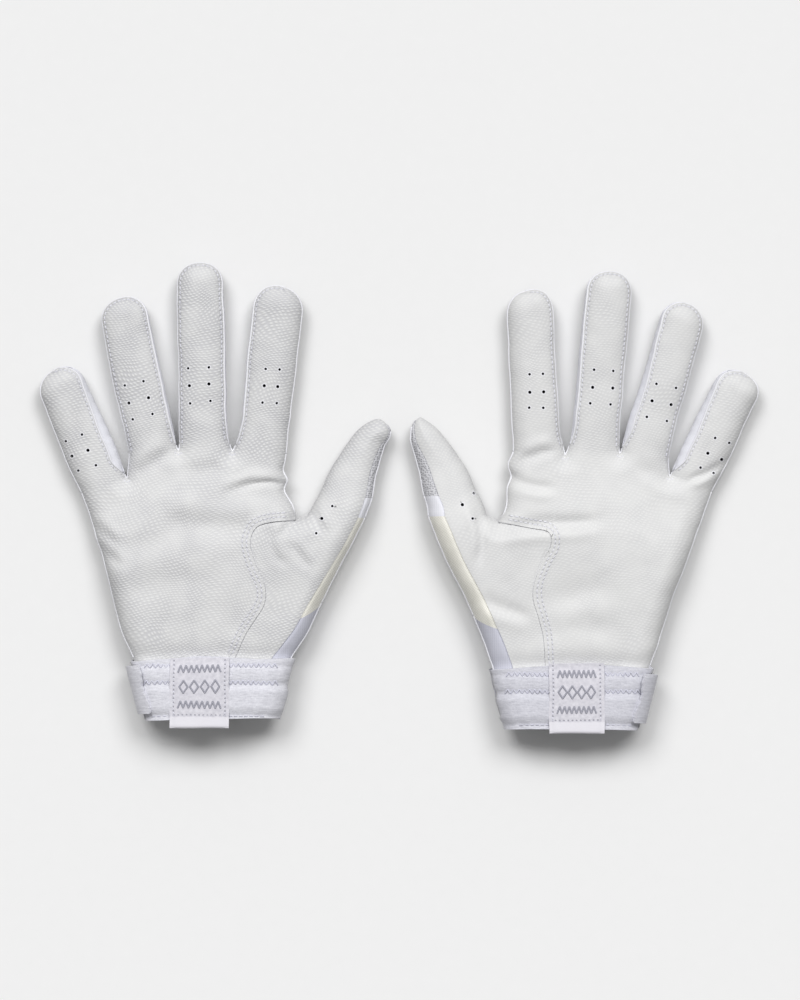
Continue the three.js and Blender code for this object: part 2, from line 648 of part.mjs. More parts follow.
function makeGlove(side) {
  const hand = makeHand(postures[side]);
  const seams = sideSeams(hand);
  const group = new THREE.Group();
  const add = (name, geometry, finish) => {
    const mesh = new THREE.Mesh(geometry, new THREE.MeshStandardMaterial(finishes[finish]));
    mesh.name = `${side}_${name}`;
    group.add(mesh);
  };
  const { foldRow } = seams;
  const lastRow = seams.rise.length - 1;
  const split = hand.posture.sideSplitShares.map((share) => share * foldRow);
  const tipRow = mix(foldRow, lastRow, patchStartShare);
  const gap = seamGap / (palmLength / foldRow);

  add("palm_panel", sheet(hand, [palmGrid(hand)], 0, -leather), "palmLeather");
  add("thumb_base_panel", sheet(hand, [thumbBaseGrid(hand, seams)], 0, -leather), "palmLeather");
  const wholeBack = toSolid(sheet(hand, backGrids(hand, seams).map(turned), 0, -knit));
  add("back_panel", toGeometry(wholeBack.subtract(toSolid(slotCutter()))), "knit");
  hand.fingers.forEach((finger, i) => {
    const walls = [i > 0, i < hand.fingers.length - 1];
    const grid = fingerGrid(finger, walls);
    add(`${finger.name}_front`, sheet(hand, [grid], 0, -leather), "palmLeather");
    add(`${finger.name}_back`, sheet(hand, [turned(grid)], 0, -knit), "knit");
    if (walls[0]) add(`${finger.name}_outer_wall`, fingerWall(hand, finger, -1), "knit");
    if (walls[1]) add(`${finger.name}_inner_wall`, fingerWall(hand, finger, 1), "knit");
  });
  add("thumb_front", sheet(hand, [thumbGrid(hand, seams.front, seams)], 0, -leather), "palmLeather");
  add("thumb_back", sheet(hand, [turned(thumbGrid(hand, seams.rear, seams))], 0, -knit), "knit");
  const wrap = (first, last) => sheet(hand, [wrapGrid(seams, first, last)], 0, -knit);
  add("thumb_gusset", wrap([0, 0], [split[0] - gap, split[1] - gap]), "knit");
  add("thumb_mesh", wrap([split[0] + gap, split[1] + gap], [foldRow - gap, foldRow - gap]), "mesh");
  add("thumb_side_band", wrap([foldRow + gap, foldRow + gap], [tipRow - gap, tipRow - gap]), "knit");
  add("thumb_tip_patch", wrap([tipRow + gap, tipRow + gap], [lastRow, lastRow]), "patchLeather");
  add("cuff_band", sheet(hand, [cuffGrid()], layerGap + cuffThickness, layerGap), "elastic");
  add("pull_tab", tabGeometry(hand.posture.tabShare * palmWidth), "label");
  add("closure_strap", sheet(hand, [strapGrid()], strapThickness, 0), "elastic");
  const middle = -cuffHeight / 2;
  const patchHeight = strapHeight - 2 * patchMargin;
  const hookBottom = strapThickness + layerGap;
  const loopBottom = hookBottom + patchThickness + layerGap;
  const plate = (x, width, height, bottom, depth) => roundedPlate(x, middle, width, height, bottom, depth);
  add("hook_patch", plate(patchPlace, patchLength, patchHeight, hookBottom, patchThickness), "hookAndLoop");
  add("loop_patch", plate(patchPlace, patchLength, patchHeight, loopBottom, patchThickness), "hookAndLoop");
  const anchorPlace = slotPlace + slotWidth / 2 + 2 * seamGap + anchorLength / 2;
  const anchorDepth = loopBottom + patchThickness;
  add("strap_anchor", plate(anchorPlace, anchorLength, strapHeight, 0, anchorDepth), "elastic");
  return group;
}

// The thumb beyond its fold, from its free edge to the seam given
function thumbGrid(hand, seam, seams) {
  const { thumb } = hand;
  const start = creaseGap / 2 / thumb.length;
  return thumb.rows.map((along, i) => {
    const free = thumb.place(Math.max(along, start), -1);
    const stop = seam[seams.foldRow + i].clone();
    const width = stop.distanceTo(free);
    const edge = between(free, stop, 1 - Math.min(seamGap / 2 / width, 0.4));
    if (i === 0) edge.y += creaseGap / 2;
    return acrossShares.map((across) => {
      const { x, y } = between(free, edge, (across + 1) / 2);
      return { x, y, side: 1, lift: seamGap / 2 };
    });
  });
}

const pair = new THREE.Group();
const right = makeGlove("right");
const left = makeGlove("left");
left.scale.x = -1;
const boxOf = (object) => new THREE.Box3().setFromObject(object);
right.position.set(-gloveGap / 2 - boxOf(right).max.x, 0, 0);
left.position.set(gloveGap / 2 - boxOf(left).min.x, -wristOffset, 0);
pair.add(right, left);

// The origin is the middle of the pair's footprint, on the table
const bounds = boxOf(pair);
const middle = bounds.getCenter(new THREE.Vector3());
pair.position.set(-middle.x, -middle.y, -bounds.min.z);

export default pair;
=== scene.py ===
import json
import math

import bpy
import numpy as np
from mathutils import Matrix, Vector


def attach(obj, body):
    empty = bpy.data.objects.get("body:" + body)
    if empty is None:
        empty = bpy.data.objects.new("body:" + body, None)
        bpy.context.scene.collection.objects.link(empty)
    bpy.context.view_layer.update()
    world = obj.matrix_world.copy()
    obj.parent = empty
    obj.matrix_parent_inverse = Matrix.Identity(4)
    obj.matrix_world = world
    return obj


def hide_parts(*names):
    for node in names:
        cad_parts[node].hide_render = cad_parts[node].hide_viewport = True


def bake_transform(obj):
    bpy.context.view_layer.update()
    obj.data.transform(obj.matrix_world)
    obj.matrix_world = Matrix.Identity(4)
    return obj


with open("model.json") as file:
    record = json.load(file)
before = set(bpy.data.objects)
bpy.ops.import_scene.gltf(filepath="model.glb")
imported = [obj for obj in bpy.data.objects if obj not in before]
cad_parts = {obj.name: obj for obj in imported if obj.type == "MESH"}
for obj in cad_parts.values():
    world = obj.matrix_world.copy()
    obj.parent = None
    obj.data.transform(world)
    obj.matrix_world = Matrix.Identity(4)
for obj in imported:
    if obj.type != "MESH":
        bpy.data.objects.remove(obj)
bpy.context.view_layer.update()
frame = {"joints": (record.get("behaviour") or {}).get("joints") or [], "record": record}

# Fingers
# Each finger is an embossed sheepskin front and a knit back. Narrow knit walls join two fingers, and on the
# free edges the leather rolls over to the back. Stitches run just inside the walled edges. Sizes are in mm
# from the middle of each wrist, with x towards the thumb.
mm = 0.001
rest_place = 60          # the record's rest mount lies this far above the wrist
wrist_width, mouth_width, cuff_height = 76, 61, 29
palm_thickness, finger_thickness, thickness_fade = 20, 14, 50
edge_radius = 10         # how far in from the outline the glove reaches its full thickness
seam_level = 0.45        # height of the side seams, as a share of the thickness there
stack_height, wrist_rise = 6.5, 25
slit_width = 1
slit_depths = {"right": (1, 1.3, 1.7), "left": (1, 1.2, 3.2)}
seam_gap, wall_height = 0.4, 5
cuff_tuck, wrap_width = 6, 8
taper_share, thumb_taper_share, narrow_share = 0.25, 0.55, 0.8
tip_power, thumb_bow = 2.2, 0.6
row_step = 1.0           # between rows of points on the panels
tip_rows, tip_turn_deg = 16, 88
photo_middle_px = (400, 500)
mm_per_px = 0.48
finger_sizes = {         # length from the fold to the tip, width at the middle, width near the tip
    "little": (60.4, 23.2, 21.6),
    "ring": (76.2, 23.6, 22),
    "middle": (88.4, 22.8, 21),
    "index": (79.6, 24.8, 23),
    "thumb": (52.4, 24.2, 18.6),
}
plans = {                # a finger: the two ends of its fold line, its lean in degrees, its side walls
    "right": {
        "stretch": 1,
        "fingers": [
            ("little", (-62.6, 78.8), (-41.3, 86.9), -22.4, (False, True)),
            ("ring", (-40.7, 96.6), (-16.8, 100.5), -11, (True, True)),
            ("middle", (-16.8, 100.5), (9.6, 100.6), -1.6, (True, True)),
            ("index", (9.6, 100.6), (35.5, 97.7), 6.6, (True, False)),
        ],
        "thumb": ("thumb", (45.2, 68.3), (73.8, 66.7), 24.6, (False, False)),
        "web": (39.8, 66),
        "index_edge": [(34.5, 90), (35.5, 80), (38.5, 72)],
        "outer_edge": [(-43.7, 13), (-48.8, 32), (-53.7, 52)],
        "thumb_edge": [(46.8, 14), (56.2, 34), (66.8, 54)],
    },
    "left": {
        "stretch": 0.975,
        "fingers": [
            ("little", (-69.2, 83), (-47.8, 92.2), -24.8, (False, True)),
            ("ring", (-47.6, 98.1), (-23.8, 103.4), -15.2, (True, True)),
            ("middle", (-23.8, 103.4), (2.2, 104.2), -5.8, (True, True)),
            ("index", (2.2, 104.2), (28.1, 102.8), 2.5, (True, False)),
        ],
        "thumb": ("thumb", (40, 72.6), (69.2, 72), 21.2, (False, False)),
        "web": (34.2, 69.2),
        "index_edge": [(29.2, 95), (29.8, 85), (31.2, 76)],
        "outer_edge": [(-42.5, 13), (-48.7, 32), (-56.8, 54)],
        "thumb_edge": [(43, 14), (51.5, 34), (60, 51)],
    },
}
# How wear has shaped each finger: its extra length, then how far its outer and inner edges stand out, in mm,
# at shares of its length
wear_shares = (0, 0.04, 0.08, 0.14, 0.2, 0.3, 0.4, 0.6, 0.8, 1)
wear = {
    "right": {
        "little": (0, (1, 1.1, 1.2, 1.3, 1.4, 1.4, 1.4, 1.4, 1.4, 1.2),
                   (-0.2, 0, 0, 0, 0, 0, -0.2, -0.5, -0.8, -0.8)),
        "ring": (-0.5, (-0.2, -0.6, -0.7, -0.8, -0.8, 0.1, 0.7, 1.1, 1.2, 1),
                 (-0.1, -0.2, -0.2, -0.2, -0.4, -0.5, -0.6, -0.8, -0.8, -0.8)),
        "middle": (0.6, (-0.1, -0.5, -0.2, 0.2, 0.2, 0.4, 0.3, 0.7, 0.7, 0.5),
                   (-0.5, -1.4, -1.6, -1.3, -1, -0.6, -0.5, 0, -0.1, 0)),
        "index": (0, (-0.5, -1.4, -2, -2.5, -2.7, -2.4, -1.8, -1, -0.8, -0.6),
                  (0.3, 0.3, 0.3, 0.4, 0.5, 0.7, 0.9, 1.2, 1.3, 1)),
        "thumb": (-1, (0, -0.3, -0.6, -1, -0.8, -0.3, 0.1, -0.1, -1.2, -4.5),
                  (0, 0, 0, 0, -0.2, -0.4, -0.6, -1.2, -2, 0)),
    },
    "left": {
        "little": (0, (-1.2, -1.1, -1, -0.9, -0.8, -0.4, 0, -0.3, 0.2, 0.8),
                   (-0.2, 0, 0, 0, 0, 0, 0, 0, 0, 0)),
        "ring": (1.9, (-0.3, -0.9, -1.2, -1.6, -2, -2, -1.5, -1, -0.6, -0.4),
                 (0, 0.2, 0.2, 0.1, -0.1, -0.5, -0.8, -0.9, -0.8, -0.5)),
        "middle": (0, (-0.2, -0.5, -0.7, -0.7, -0.5, -0.2, -0.3, -0.2, -0.1, 0),
                   (-0.7, -1.3, -1.4, -1.2, -0.8, -0.4, -0.2, 0.2, 0.5, 0.4)),
        "index": (0, (-0.7, -1.4, -2.2, -2.5, -2.7, -2.7, -2.7, -2.4, -2.3, -1.8),
                  (0.2, 0.2, 0.1, 0.3, 0.3, 0.4, 0.6, 0.9, 1.1, 1)),
        "thumb": (-1.6, (0, 0.2, 0.3, 0.2, 0.2, 0.4, 0.4, -0.8, -3, -7),
                  (0, -0.4, -0.8, -1, -1, -1, -0.8, -0.5, -0.6, -4)),
    },
}
# Soft folds in the palm, by where the photograph shows them: points, width and depth in mm
folds = {
    "right": [
        ([(220, 496), (236, 488), (252, 483.5), (270, 482.3), (290, 485), (316, 488)], 2.2, 1.4),
        ([(246, 486), (258, 483), (270, 482), (281, 483), (294, 486)], 0.9, 0.9),
        ([(196, 502), (222, 500), (250, 494), (285, 494), (315, 498)], 4.5, 0.7),
        ([(128, 478), (140, 472), (152, 464), (164, 457), (178, 450)], 3.6, 1.1),
        ([(170, 462), (184, 468), (200, 472), (216, 469), (232, 460)], 4.0, 0.6),
        ([(140, 520), (190, 522), (225, 526), (250, 529), (275, 520)], 6.0, 1.2),
        ([(80, 566), (122, 552), (165, 538), (205, 530), (250, 526)], 7.0, 0.8),
        ([(80, 604), (112, 594), (150, 586), (190, 582), (240, 580)], 7.0, 0.6),
        ([(276, 520), (271, 532), (271, 545), (277, 558), (292, 568)], 2.5, 0.7),
        ([(289, 540), (295, 549), (302, 558), (311, 571)], 2.4, 0.8),
        ([(309, 500), (313, 512), (318, 522), (324, 536)], 2.2, 1.2),
        ([(276, 540), (284, 531), (290, 523), (300, 512)], 2.0, 0.8),
        ([(84, 522), (97, 528), (108, 536), (122, 548)], 2.6, 0.9),
        ([(88, 542), (102, 549), (114, 558), (126, 570)], 2.6, 0.8),
    ],
    "left": [
        ([(566, 448), (541, 452.5), (526, 458.5), (514, 467), (500, 477)], 2.8, 1.15),
        ([(494, 464), (509, 477), (522, 483.5), (538, 487), (562, 489)], 2.6, 1.3),
        ([(482, 532), (501, 529), (522, 526), (547, 524), (575, 523), (612, 520)], 3.4, 2.1),
        ([(530, 610), (545, 603), (560, 597), (584, 590), (624, 584)], 7.0, 1.0),
        ([(530, 632), (548, 630), (575, 627), (625, 627)], 6.0, 0.8),
        ([(680, 485), (692, 479), (703, 475), (716, 468), (738, 454)], 2.0, 1.4),
        ([(470, 498), (476, 512), (481, 528), (482, 545), (478, 570)], 2.5, 1.2),
        ([(476, 594), (487, 600), (500, 607), (515, 612), (535, 620)], 3.6, 1.2),
        ([(630, 466), (650, 472), (668, 478), (700, 488)], 4.0, 0.8),
    ],
}
fold_fade = 0.3          # of a fold's length, over which it dies away at each end
crown_share, crown_place, crown_width = 0.55, 1.5, 1.1   # the swell beside a fold, in its depths and widths
cuff_dip, cuff_dip_place, cuff_dip_width = 1.3, 0.5, 4.5         # the leather sinks where the cuff grips it
# Soft swells, as pairs of height and size in mm
palm_swells = [(0.32, 17), (0.14, 8), (0.05, 4)]
back_swells = [(0.5, 15), (0.25, 7)]
edge_swells_x = [(0.25, 11), (0.12, 5)]
edge_swells_y = [(0.2, 12)]
cuff_calm, back_share = 0.3, 0.5         # how much of them is left under the cuff, and on the back
swell_seeds = {"right": 3, "left": 8}
# Where an edge stands out or draws in: place, reach in mm, shift towards the thumb in mm
edge_bulges = {
    "right": [
        ((284, 469), 2.2, -0.6), ((288, 479.5), 2.4, 2.0), ((286, 490), 2.6, -0.7), ((292, 506), 4, 0.7),
        ((97, 540), 5, -0.5),
    ],
    "left": [
        ((511, 464), 4.0, 1.5), ((512, 476.5), 2.4, -0.9), ((509, 489), 4.5, 1.2),
    ],
}


def mix(a, b, t):
    return a + (b - a) * t


def clamp(t):
    return np.clip(t, 0, 1)


def smooth(t):
    return clamp(t) ** 2 * (3 - 2 * clamp(t))


def unit(v):
    return v / np.maximum(np.linalg.norm(v, axis=-1, keepdims=True), 1e-9)


def lengths(line):
    return np.concatenate([[0], np.cumsum(np.linalg.norm(np.diff(line, axis=0), axis=1))])


def along_line(line, shares):
    """Points at shares of a chain's length"""
    run = lengths(line)
    places = np.asarray(shares) * run[-1]
    return np.column_stack([np.interp(places, run, axis) for axis in np.transpose(line)])


def spline(points, count):
    """A smooth curve through the points"""
    p = np.array([np.asarray(point, float) for point in points])
    spot = np.linspace(0, len(p) - 1, count)
    i = np.minimum(spot.astype(int), len(p) - 2)
    w = (spot - i)[:, None]
    p0, p1, p2, p3 = p[np.maximum(i - 1, 0)], p[i], p[i + 1], p[np.minimum(i + 2, len(p) - 1)]
    v0, v1 = (p2 - p0) / 2, (p3 - p1) / 2
    return (2 * p1 - 2 * p2 + v0 + v1) * w**3 + (3 * p2 - 3 * p1 - 2 * v0 - v1) * w**2 + v0 * w + p1


def beside(line, distance):
    """The chain moved to its left"""
    run = unit(np.gradient(line, axis=0))
    return line + np.column_stack([-run[:, 1], run[:, 0]]) * np.reshape(distance, (-1, 1))


def near(xy, line):
    """Distance to a chain, place along it and side of it (1 is its left)"""
    best, place, side = np.full(len(xy), 1e3), np.zeros(len(xy)), np.zeros(len(xy))
    start = 0
    for a, b in zip(line[:-1], line[1:]):
        run, size = b - a, np.linalg.norm(b - a)
        t = clamp((xy - a) @ run / max(size, 1e-9) ** 2)
        gap = xy - a - t[:, None] * run
        distance = np.hypot(*gap.T)
        closer = distance < best
        best[closer] = distance[closer]
        place[closer] = start + t[closer] * size
        side[closer] = np.sign(run[0] * gap[closer, 1] - run[1] * gap[closer, 0])
        start += size
    return best, place, side


def swells(x, y, size, seed):
    """Soft random swells, from -1 to 1, each about `size` mm across"""
    table = np.random.default_rng(seed).uniform(-1, 1, (64, 64))
    i, j = np.floor(x / size).astype(int), np.floor(y / size).astype(int)
    u, v = smooth(x / size - i), smooth(y / size - j)
    at = lambda a, b: table[(i + a) % 64, (j + b) % 64]
    return mix(mix(at(0, 0), at(1, 0), u), mix(at(0, 1), at(1, 1), u), v)


def layered(x, y, layers, seed):
    """Swells of several heights and sizes, added up"""
    return sum(height * swells(x, y, size, seed + i) for i, (height, size) in enumerate(layers))


class Finger:
    """One finger in plan. place(along, across) runs from fold (0) to tip (1) and across from -1 to 1."""

    def __init__(self, name, start, end, lean, walls, stretch, worn):
        length, self.width, self.tip_width = finger_sizes[name]
        longer, *self.worn = worn[name]
        self.name, self.walls, self.length = name, walls, length * stretch + longer
        self.start, self.end = np.array(start, float), np.array(end, float)
        self.root = (self.start + self.end) / 2
        self.fold = unit(self.end - self.start)
        self.way = np.array([math.sin(math.radians(lean)), math.cos(math.radians(lean))])
        self.square = np.array([self.way[1], -self.way[0]])
        self.root_half = (np.linalg.norm(self.end - self.start) - slit_width) / 2
        self.tip_start = 1 - self.tip_width / 2 / self.length
        straight = np.linspace(0, self.tip_start, round(self.tip_start * self.length / row_step))
        tip = mix(self.tip_start, 1, np.sin(np.radians(np.linspace(0, tip_turn_deg, tip_rows)[1:])))
        self.rows = np.concatenate([straight, tip])

    def taper(self, along, across):
        late = thumb_taper_share if self.name == "thumb" else taper_share
        return smooth(along / np.where(across > 0, late, taper_share))

    def half(self, along, across):
        narrowing = clamp((along - taper_share) / (narrow_share - taper_share))
        body = mix(self.width, self.tip_width, narrowing) / 2
        tip = clamp((along - self.tip_start) / (1 - self.tip_start))
        outer, inner = (np.interp(along, wear_shares, edge) for edge in self.worn)
        moved = np.where(np.asarray(across) > 0, inner, outer)
        reach = mix(self.root_half, body, self.taper(along, across)) + moved
        return reach * (1 - tip**tip_power) ** (1 / tip_power)

    def place(self, along, across):
        along, across = np.broadcast_arrays(np.asarray(along, float), np.asarray(across, float))
        bow = thumb_bow if self.name == "thumb" else 0
        middle = self.root + along[..., None] * self.length * self.way
        middle = middle - (bow * np.sin(np.pi * along))[..., None] * self.square
        sideways = unit(mix(self.fold, self.square, self.taper(along, across)[..., None]))
        return middle + sideways * (across * self.half(along, across))[..., None]


class Hand:
    """One glove's plan and skin"""

    def __init__(self, side):
        plan = plans[side]
        self.side, self.mirror = side, {"right": 1, "left": -1}[side]
        rest = next(m for m in frame["record"]["mounts"] if m["name"] == side + "_back_rest")["pos_m"]
        self.origin = np.array([rest[0] / mm, rest[1] / mm - rest_place])
        self.fingers = [Finger(*spec, plan["stretch"], wear[side]) for spec in plan["fingers"]]
        self.thumb = Finger(*plan["thumb"], 1, wear[side])
        little, ring, middle, index = self.fingers
        self.slits = [f.end - depth * f.way for f, depth in zip((little, ring, middle), slit_depths[side])]
        self.web = np.array(plan["web"], float)
        half, mouth = wrist_width / 2, mouth_width / 2
        self.outer_edge = spline([(-half, 0), *plan["outer_edge"], little.place(0, -1)], 60)
        self.index_edge = spline([index.place(0, 1), *plan["index_edge"], self.web], 24)
        self.thumb_edge = spline([(half, 0), *plan["thumb_edge"], self.thumb.place(0, 1)], 48)
        edges = lambda f: np.concatenate([f.place(f.rows, -1), f.place(f.rows, 1)[::-1]])
        lowest = 2 * mouth - half
        below = lambda sign: np.array([[sign * mouth, -cuff_height], [sign * lowest, -2 * cuff_height]])
        self.outline = np.concatenate([
            below(-1)[::-1], self.outer_edge, edges(little), self.slits[:1], edges(ring), self.slits[1:2],
            edges(middle), self.slits[2:], edges(index), self.index_edge[1:], edges(self.thumb),
            self.thumb_edge[::-1][1:], below(1),
        ])
        self.folds = [(self.from_photo(points), width, depth) for points, width, depth in folds[side]]
        self.bulges = [(self.from_photo([point])[0], *sizes) for point, *sizes in edge_bulges[side]]

    def from_photo(self, points_px):
        """Plan places of points in the photograph"""
        px = np.array(points_px, float)
        world = (px - photo_middle_px) * mm_per_px * (1, -1)
        return (world - self.origin) * (self.mirror, 1)

    def distance(self, xy):
        """How far inside the outline a point lies, up to the edge radius"""
        low, high = xy.min(0) - edge_radius, xy.max(0) + edge_radius
        best = np.full(len(xy), float(edge_radius))
        for a, b in zip(self.outline[:-1], self.outline[1:]):
            if (np.maximum(a, b) < low).any() or (np.minimum(a, b) > high).any():
                continue
            run = b - a
            t = clamp((xy - a) @ run / max(run @ run, 1e-12))
            best = np.minimum(best, np.hypot(*(xy - a - t[:, None] * run).T))
        return best

    def levels(self, xy):
        roots = np.array([f.root for f in self.fingers])
        fold = np.interp(xy[:, 0], *roots.T)
        top = mix(finger_thickness, palm_thickness, smooth((fold - xy[:, 1]) / thickness_fade))
        return mix(stack_height, 0, smooth(xy[:, 1] / wrist_rise)), top

    def skin(self, xy, side, lift=0):
        low, high = self.levels(xy)
        seam = mix(low, high, seam_level) + side * lift
        rounding = np.sqrt(1 - (1 - clamp(self.distance(xy) / edge_radius)) ** 2)
        return mix(seam, np.where(np.asarray(side) > 0, high, low), rounding)

    def on_skin(self, xy, side, lift=0, height=0):
        """Points on the skin, or that far above it, and the way out there"""
        step = 0.25
        rise = [self.skin(xy + move, side, lift) for move in ((step, 0), (-step, 0), (0, step), (0, -step))]
        slope = np.column_stack([rise[1] - rise[0], rise[3] - rise[2], np.full(len(xy), 2 * step)])
        out = unit(slope) * np.reshape(side, (-1, 1))
        return np.column_stack([xy, self.skin(xy, side, lift)]) + out * np.reshape(height, (-1, 1)), out

    def settle(self, points):
        """Folds, swells and edge bulges, the same for everything that is sewn together there"""
        x, y, z = points.T
        xy = points[:, :2]
        low, high = self.levels(xy)
        rise = clamp((z - low) / (high - low))
        seed = swell_seeds[self.side]
        palm = layered(x, y, palm_swells, seed)
        palm -= cuff_dip * np.exp(-(((y - cuff_dip_place) / cuff_dip_width) ** 2))
        for line, width, depth in self.folds:
            distance, along, side = near(xy, line)
            total = lengths(line)[-1]
            fade = smooth(along / (fold_fade * total)) * smooth((total - along) / (fold_fade * total))
            t = distance * side / width
            crown = crown_share * np.exp(-((t - crown_place) / crown_width) ** 2)
            palm -= depth * fade * (np.exp(-t * t) - crown)
        back = layered(x, y, back_swells, seed + 3)
        calm = mix(cuff_calm, 1, smooth((y + cuff_height) / cuff_height))
        off_floor = smooth((rise + 0.1) / 0.2)
        lift = z + (palm * rise**2 + back_share * back * (1 - rise) ** 2 * off_floor) * calm
        shift_x = layered(x, y, edge_swells_x, seed + 5)
        shift_y = layered(x, y, edge_swells_y, seed + 7)
        for place, reach, shift in self.bulges:
            shift_x += shift * np.exp(-((xy - place) ** 2).sum(1) / reach**2)
        return np.column_stack([x + shift_x, y + shift_y, lift])

    def world(self, points):
        return (points * (self.mirror, 1, 1) + (*self.origin, 0)) * mm


hands = [Hand("right"), Hand("left")]

# A panel is one or more grids of plan points (x, y, side, lift), welded where they meet. It gets the hand's
# skin, a thickness and a rim. Side is 1 on the palm and -1 on the back; lift raises an edge over a side wall.
welds_per_mm = 2000
hole_clearance = 1.2 * row_step          # faces are cleared this far beyond a hole, for the ring round it
collar_width = 0.4       # the punch leaves a bright ring this wide round each hole
turned_over = -0.3       # where a face leans this far from the skin's own way out, that way is used
groove_depth, groove_width = 0.15, 0.6   # a row of stitches pulls the leather in
far = 99.0               # a place in a seam that no stitch reaches
unstitched = (far, far, 0.0)


def cells(xy, side=1, lift=0):
    shape = xy.shape[:2] + (1,)
    full = lambda v: np.broadcast_to(np.asarray(v, float)[..., None] if np.ndim(v) else v, shape)
    return np.concatenate([xy, full(side), full(lift)], -1)


def weld(grids):
    flat, faces, base = [], [], 0
    for g in grids:
        ids = base + np.arange(g.shape[0] * g.shape[1]).reshape(g.shape[:2])
        faces.append(np.stack([ids[:-1, :-1], ids[:-1, 1:], ids[1:, 1:], ids[1:, :-1]], -1).reshape(-1, 4))
        flat.append(g.reshape(-1, g.shape[2]))
        base += ids.size
    flat, faces = np.concatenate(flat), np.concatenate(faces)
    key = np.round(flat[:, :3] * welds_per_mm).astype(np.int64)
    _, first, number = np.unique(key, axis=0, return_index=True, return_inverse=True)
    return flat[first], number.reshape(-1)[faces]


def inside(xy, ring):
    a, b = ring[:-1], ring[1:]
    x, y = xy[:, :1], xy[:, 1:2]
    crosses = (a[:, 1] > y) != (b[:, 1] > y)
    rise = np.where(a[:, 1] == b[:, 1], 1e-9, b[:, 1] - a[:, 1])
    return (crosses & (x < (b[:, 0] - a[:, 0]) * (y - a[:, 1]) / rise + a[:, 0])).sum(1) % 2 == 1


def punch(flat, faces, ring, margin):
    """Takes out the faces inside a closed outline and draws the edge left onto it"""
    middle = flat[faces][:, :, :2].mean(1)
    close = (np.abs(middle - ring.mean(0)) < np.ptp(ring, axis=0) / 2 + 3 * margin).all(1)
    gone = np.zeros(len(faces), bool)
    spots = middle[close]
    if not len(spots):
        return flat, faces
    gone[close] = inside(spots, ring) | (near(spots, ring)[0] < margin)
    edge = np.intersect1d(faces[gone], faces[~gone])
    place = near(flat[edge, :2], ring)[1]
    flat = flat.copy()
    flat[edge, :2] = along_line(ring, place / lengths(ring)[-1])
    return flat, faces[~gone]


def drill(flat, faces, marks, centre, radius):
    """A round hole in place of the faces about a point. The narrow ring round it is marked as a cut edge."""
    gone = np.hypot(*(flat[faces][:, :, :2].mean(1) - centre).T) < radius + hole_clearance
    if not gone.any() or (flat[faces[gone], 2] < 0).all():
        return flat, faces, marks
    edges = np.concatenate([faces[gone][:, [i, (i + 1) % 4]] for i in range(4)])
    key, back = edges[:, 0] * len(flat) + edges[:, 1], edges[:, 1] * len(flat) + edges[:, 0]
    edges = edges[~np.isin(key, back)]
    loop, spot = np.unique(edges, return_inverse=True)
    spot = spot.reshape(-1, 2)
    way = unit(flat[loop, :2] - centre)
    rings = []
    for reach in (radius + collar_width, radius):
        ring = flat[loop].copy()
        ring[:, :2] = centre + way * reach
        rings.append(ring)
    base, count = len(flat), len(loop)
    a, b = edges.T
    near_a, near_b = base + spot.T
    far_a, far_b = near_a + count, near_b + count
    fan = np.stack([a, b, near_b, near_a], -1)
    lip = np.stack([near_a, near_b, far_b, far_a], -1)
    marks = np.concatenate([marks[~gone], np.zeros(len(fan), int), np.full(len(lip), 2)])
    return np.concatenate([flat, *rings]), np.concatenate([faces[~gone], fan, lip]), marks


def vertex_normals(points, faces):
    p = points[faces]
    face = np.cross(p[:, 2] - p[:, 0], p[:, 3] - p[:, 1])
    total = np.zeros_like(points)
    for corner in range(4):
        np.add.at(total, faces[:, corner], face)
    return unit(total)


def thicken(points, faces, thick, out, height=0, marks=0):
    """Outer and inner skins and the rim between them; looks are numbered 0, 1 and 2"""
    count = len(points)
    height = np.reshape(height, (-1, 1))
    verts = np.concatenate([points + out * height, points + out * (height - thick)])
    edges = np.concatenate([faces[:, [i, (i + 1) % 4]] for i in range(4)])
    key, back = edges[:, 0] * count + edges[:, 1], edges[:, 1] * count + edges[:, 0]
    open_edge = ~np.isin(key, back)
    rim = edges[open_edge]
    rim = np.column_stack([rim[:, 1], rim[:, 0], rim[:, 0] + count, rim[:, 1] + count])
    look = np.repeat([0, 1, 2], [len(faces), len(faces), len(rim)])
    look[: len(faces)] = marks
    # a punched hole's wall takes the dark inside look: painted shade in the hole
    drilled = np.tile(np.broadcast_to(marks, len(faces)) == 2, 4)[open_edge]
    look[2 * len(faces) :][drilled] = 1
    return {"verts": verts, "faces": np.concatenate([faces, faces[:, ::-1] + count, rim]), "look": look}


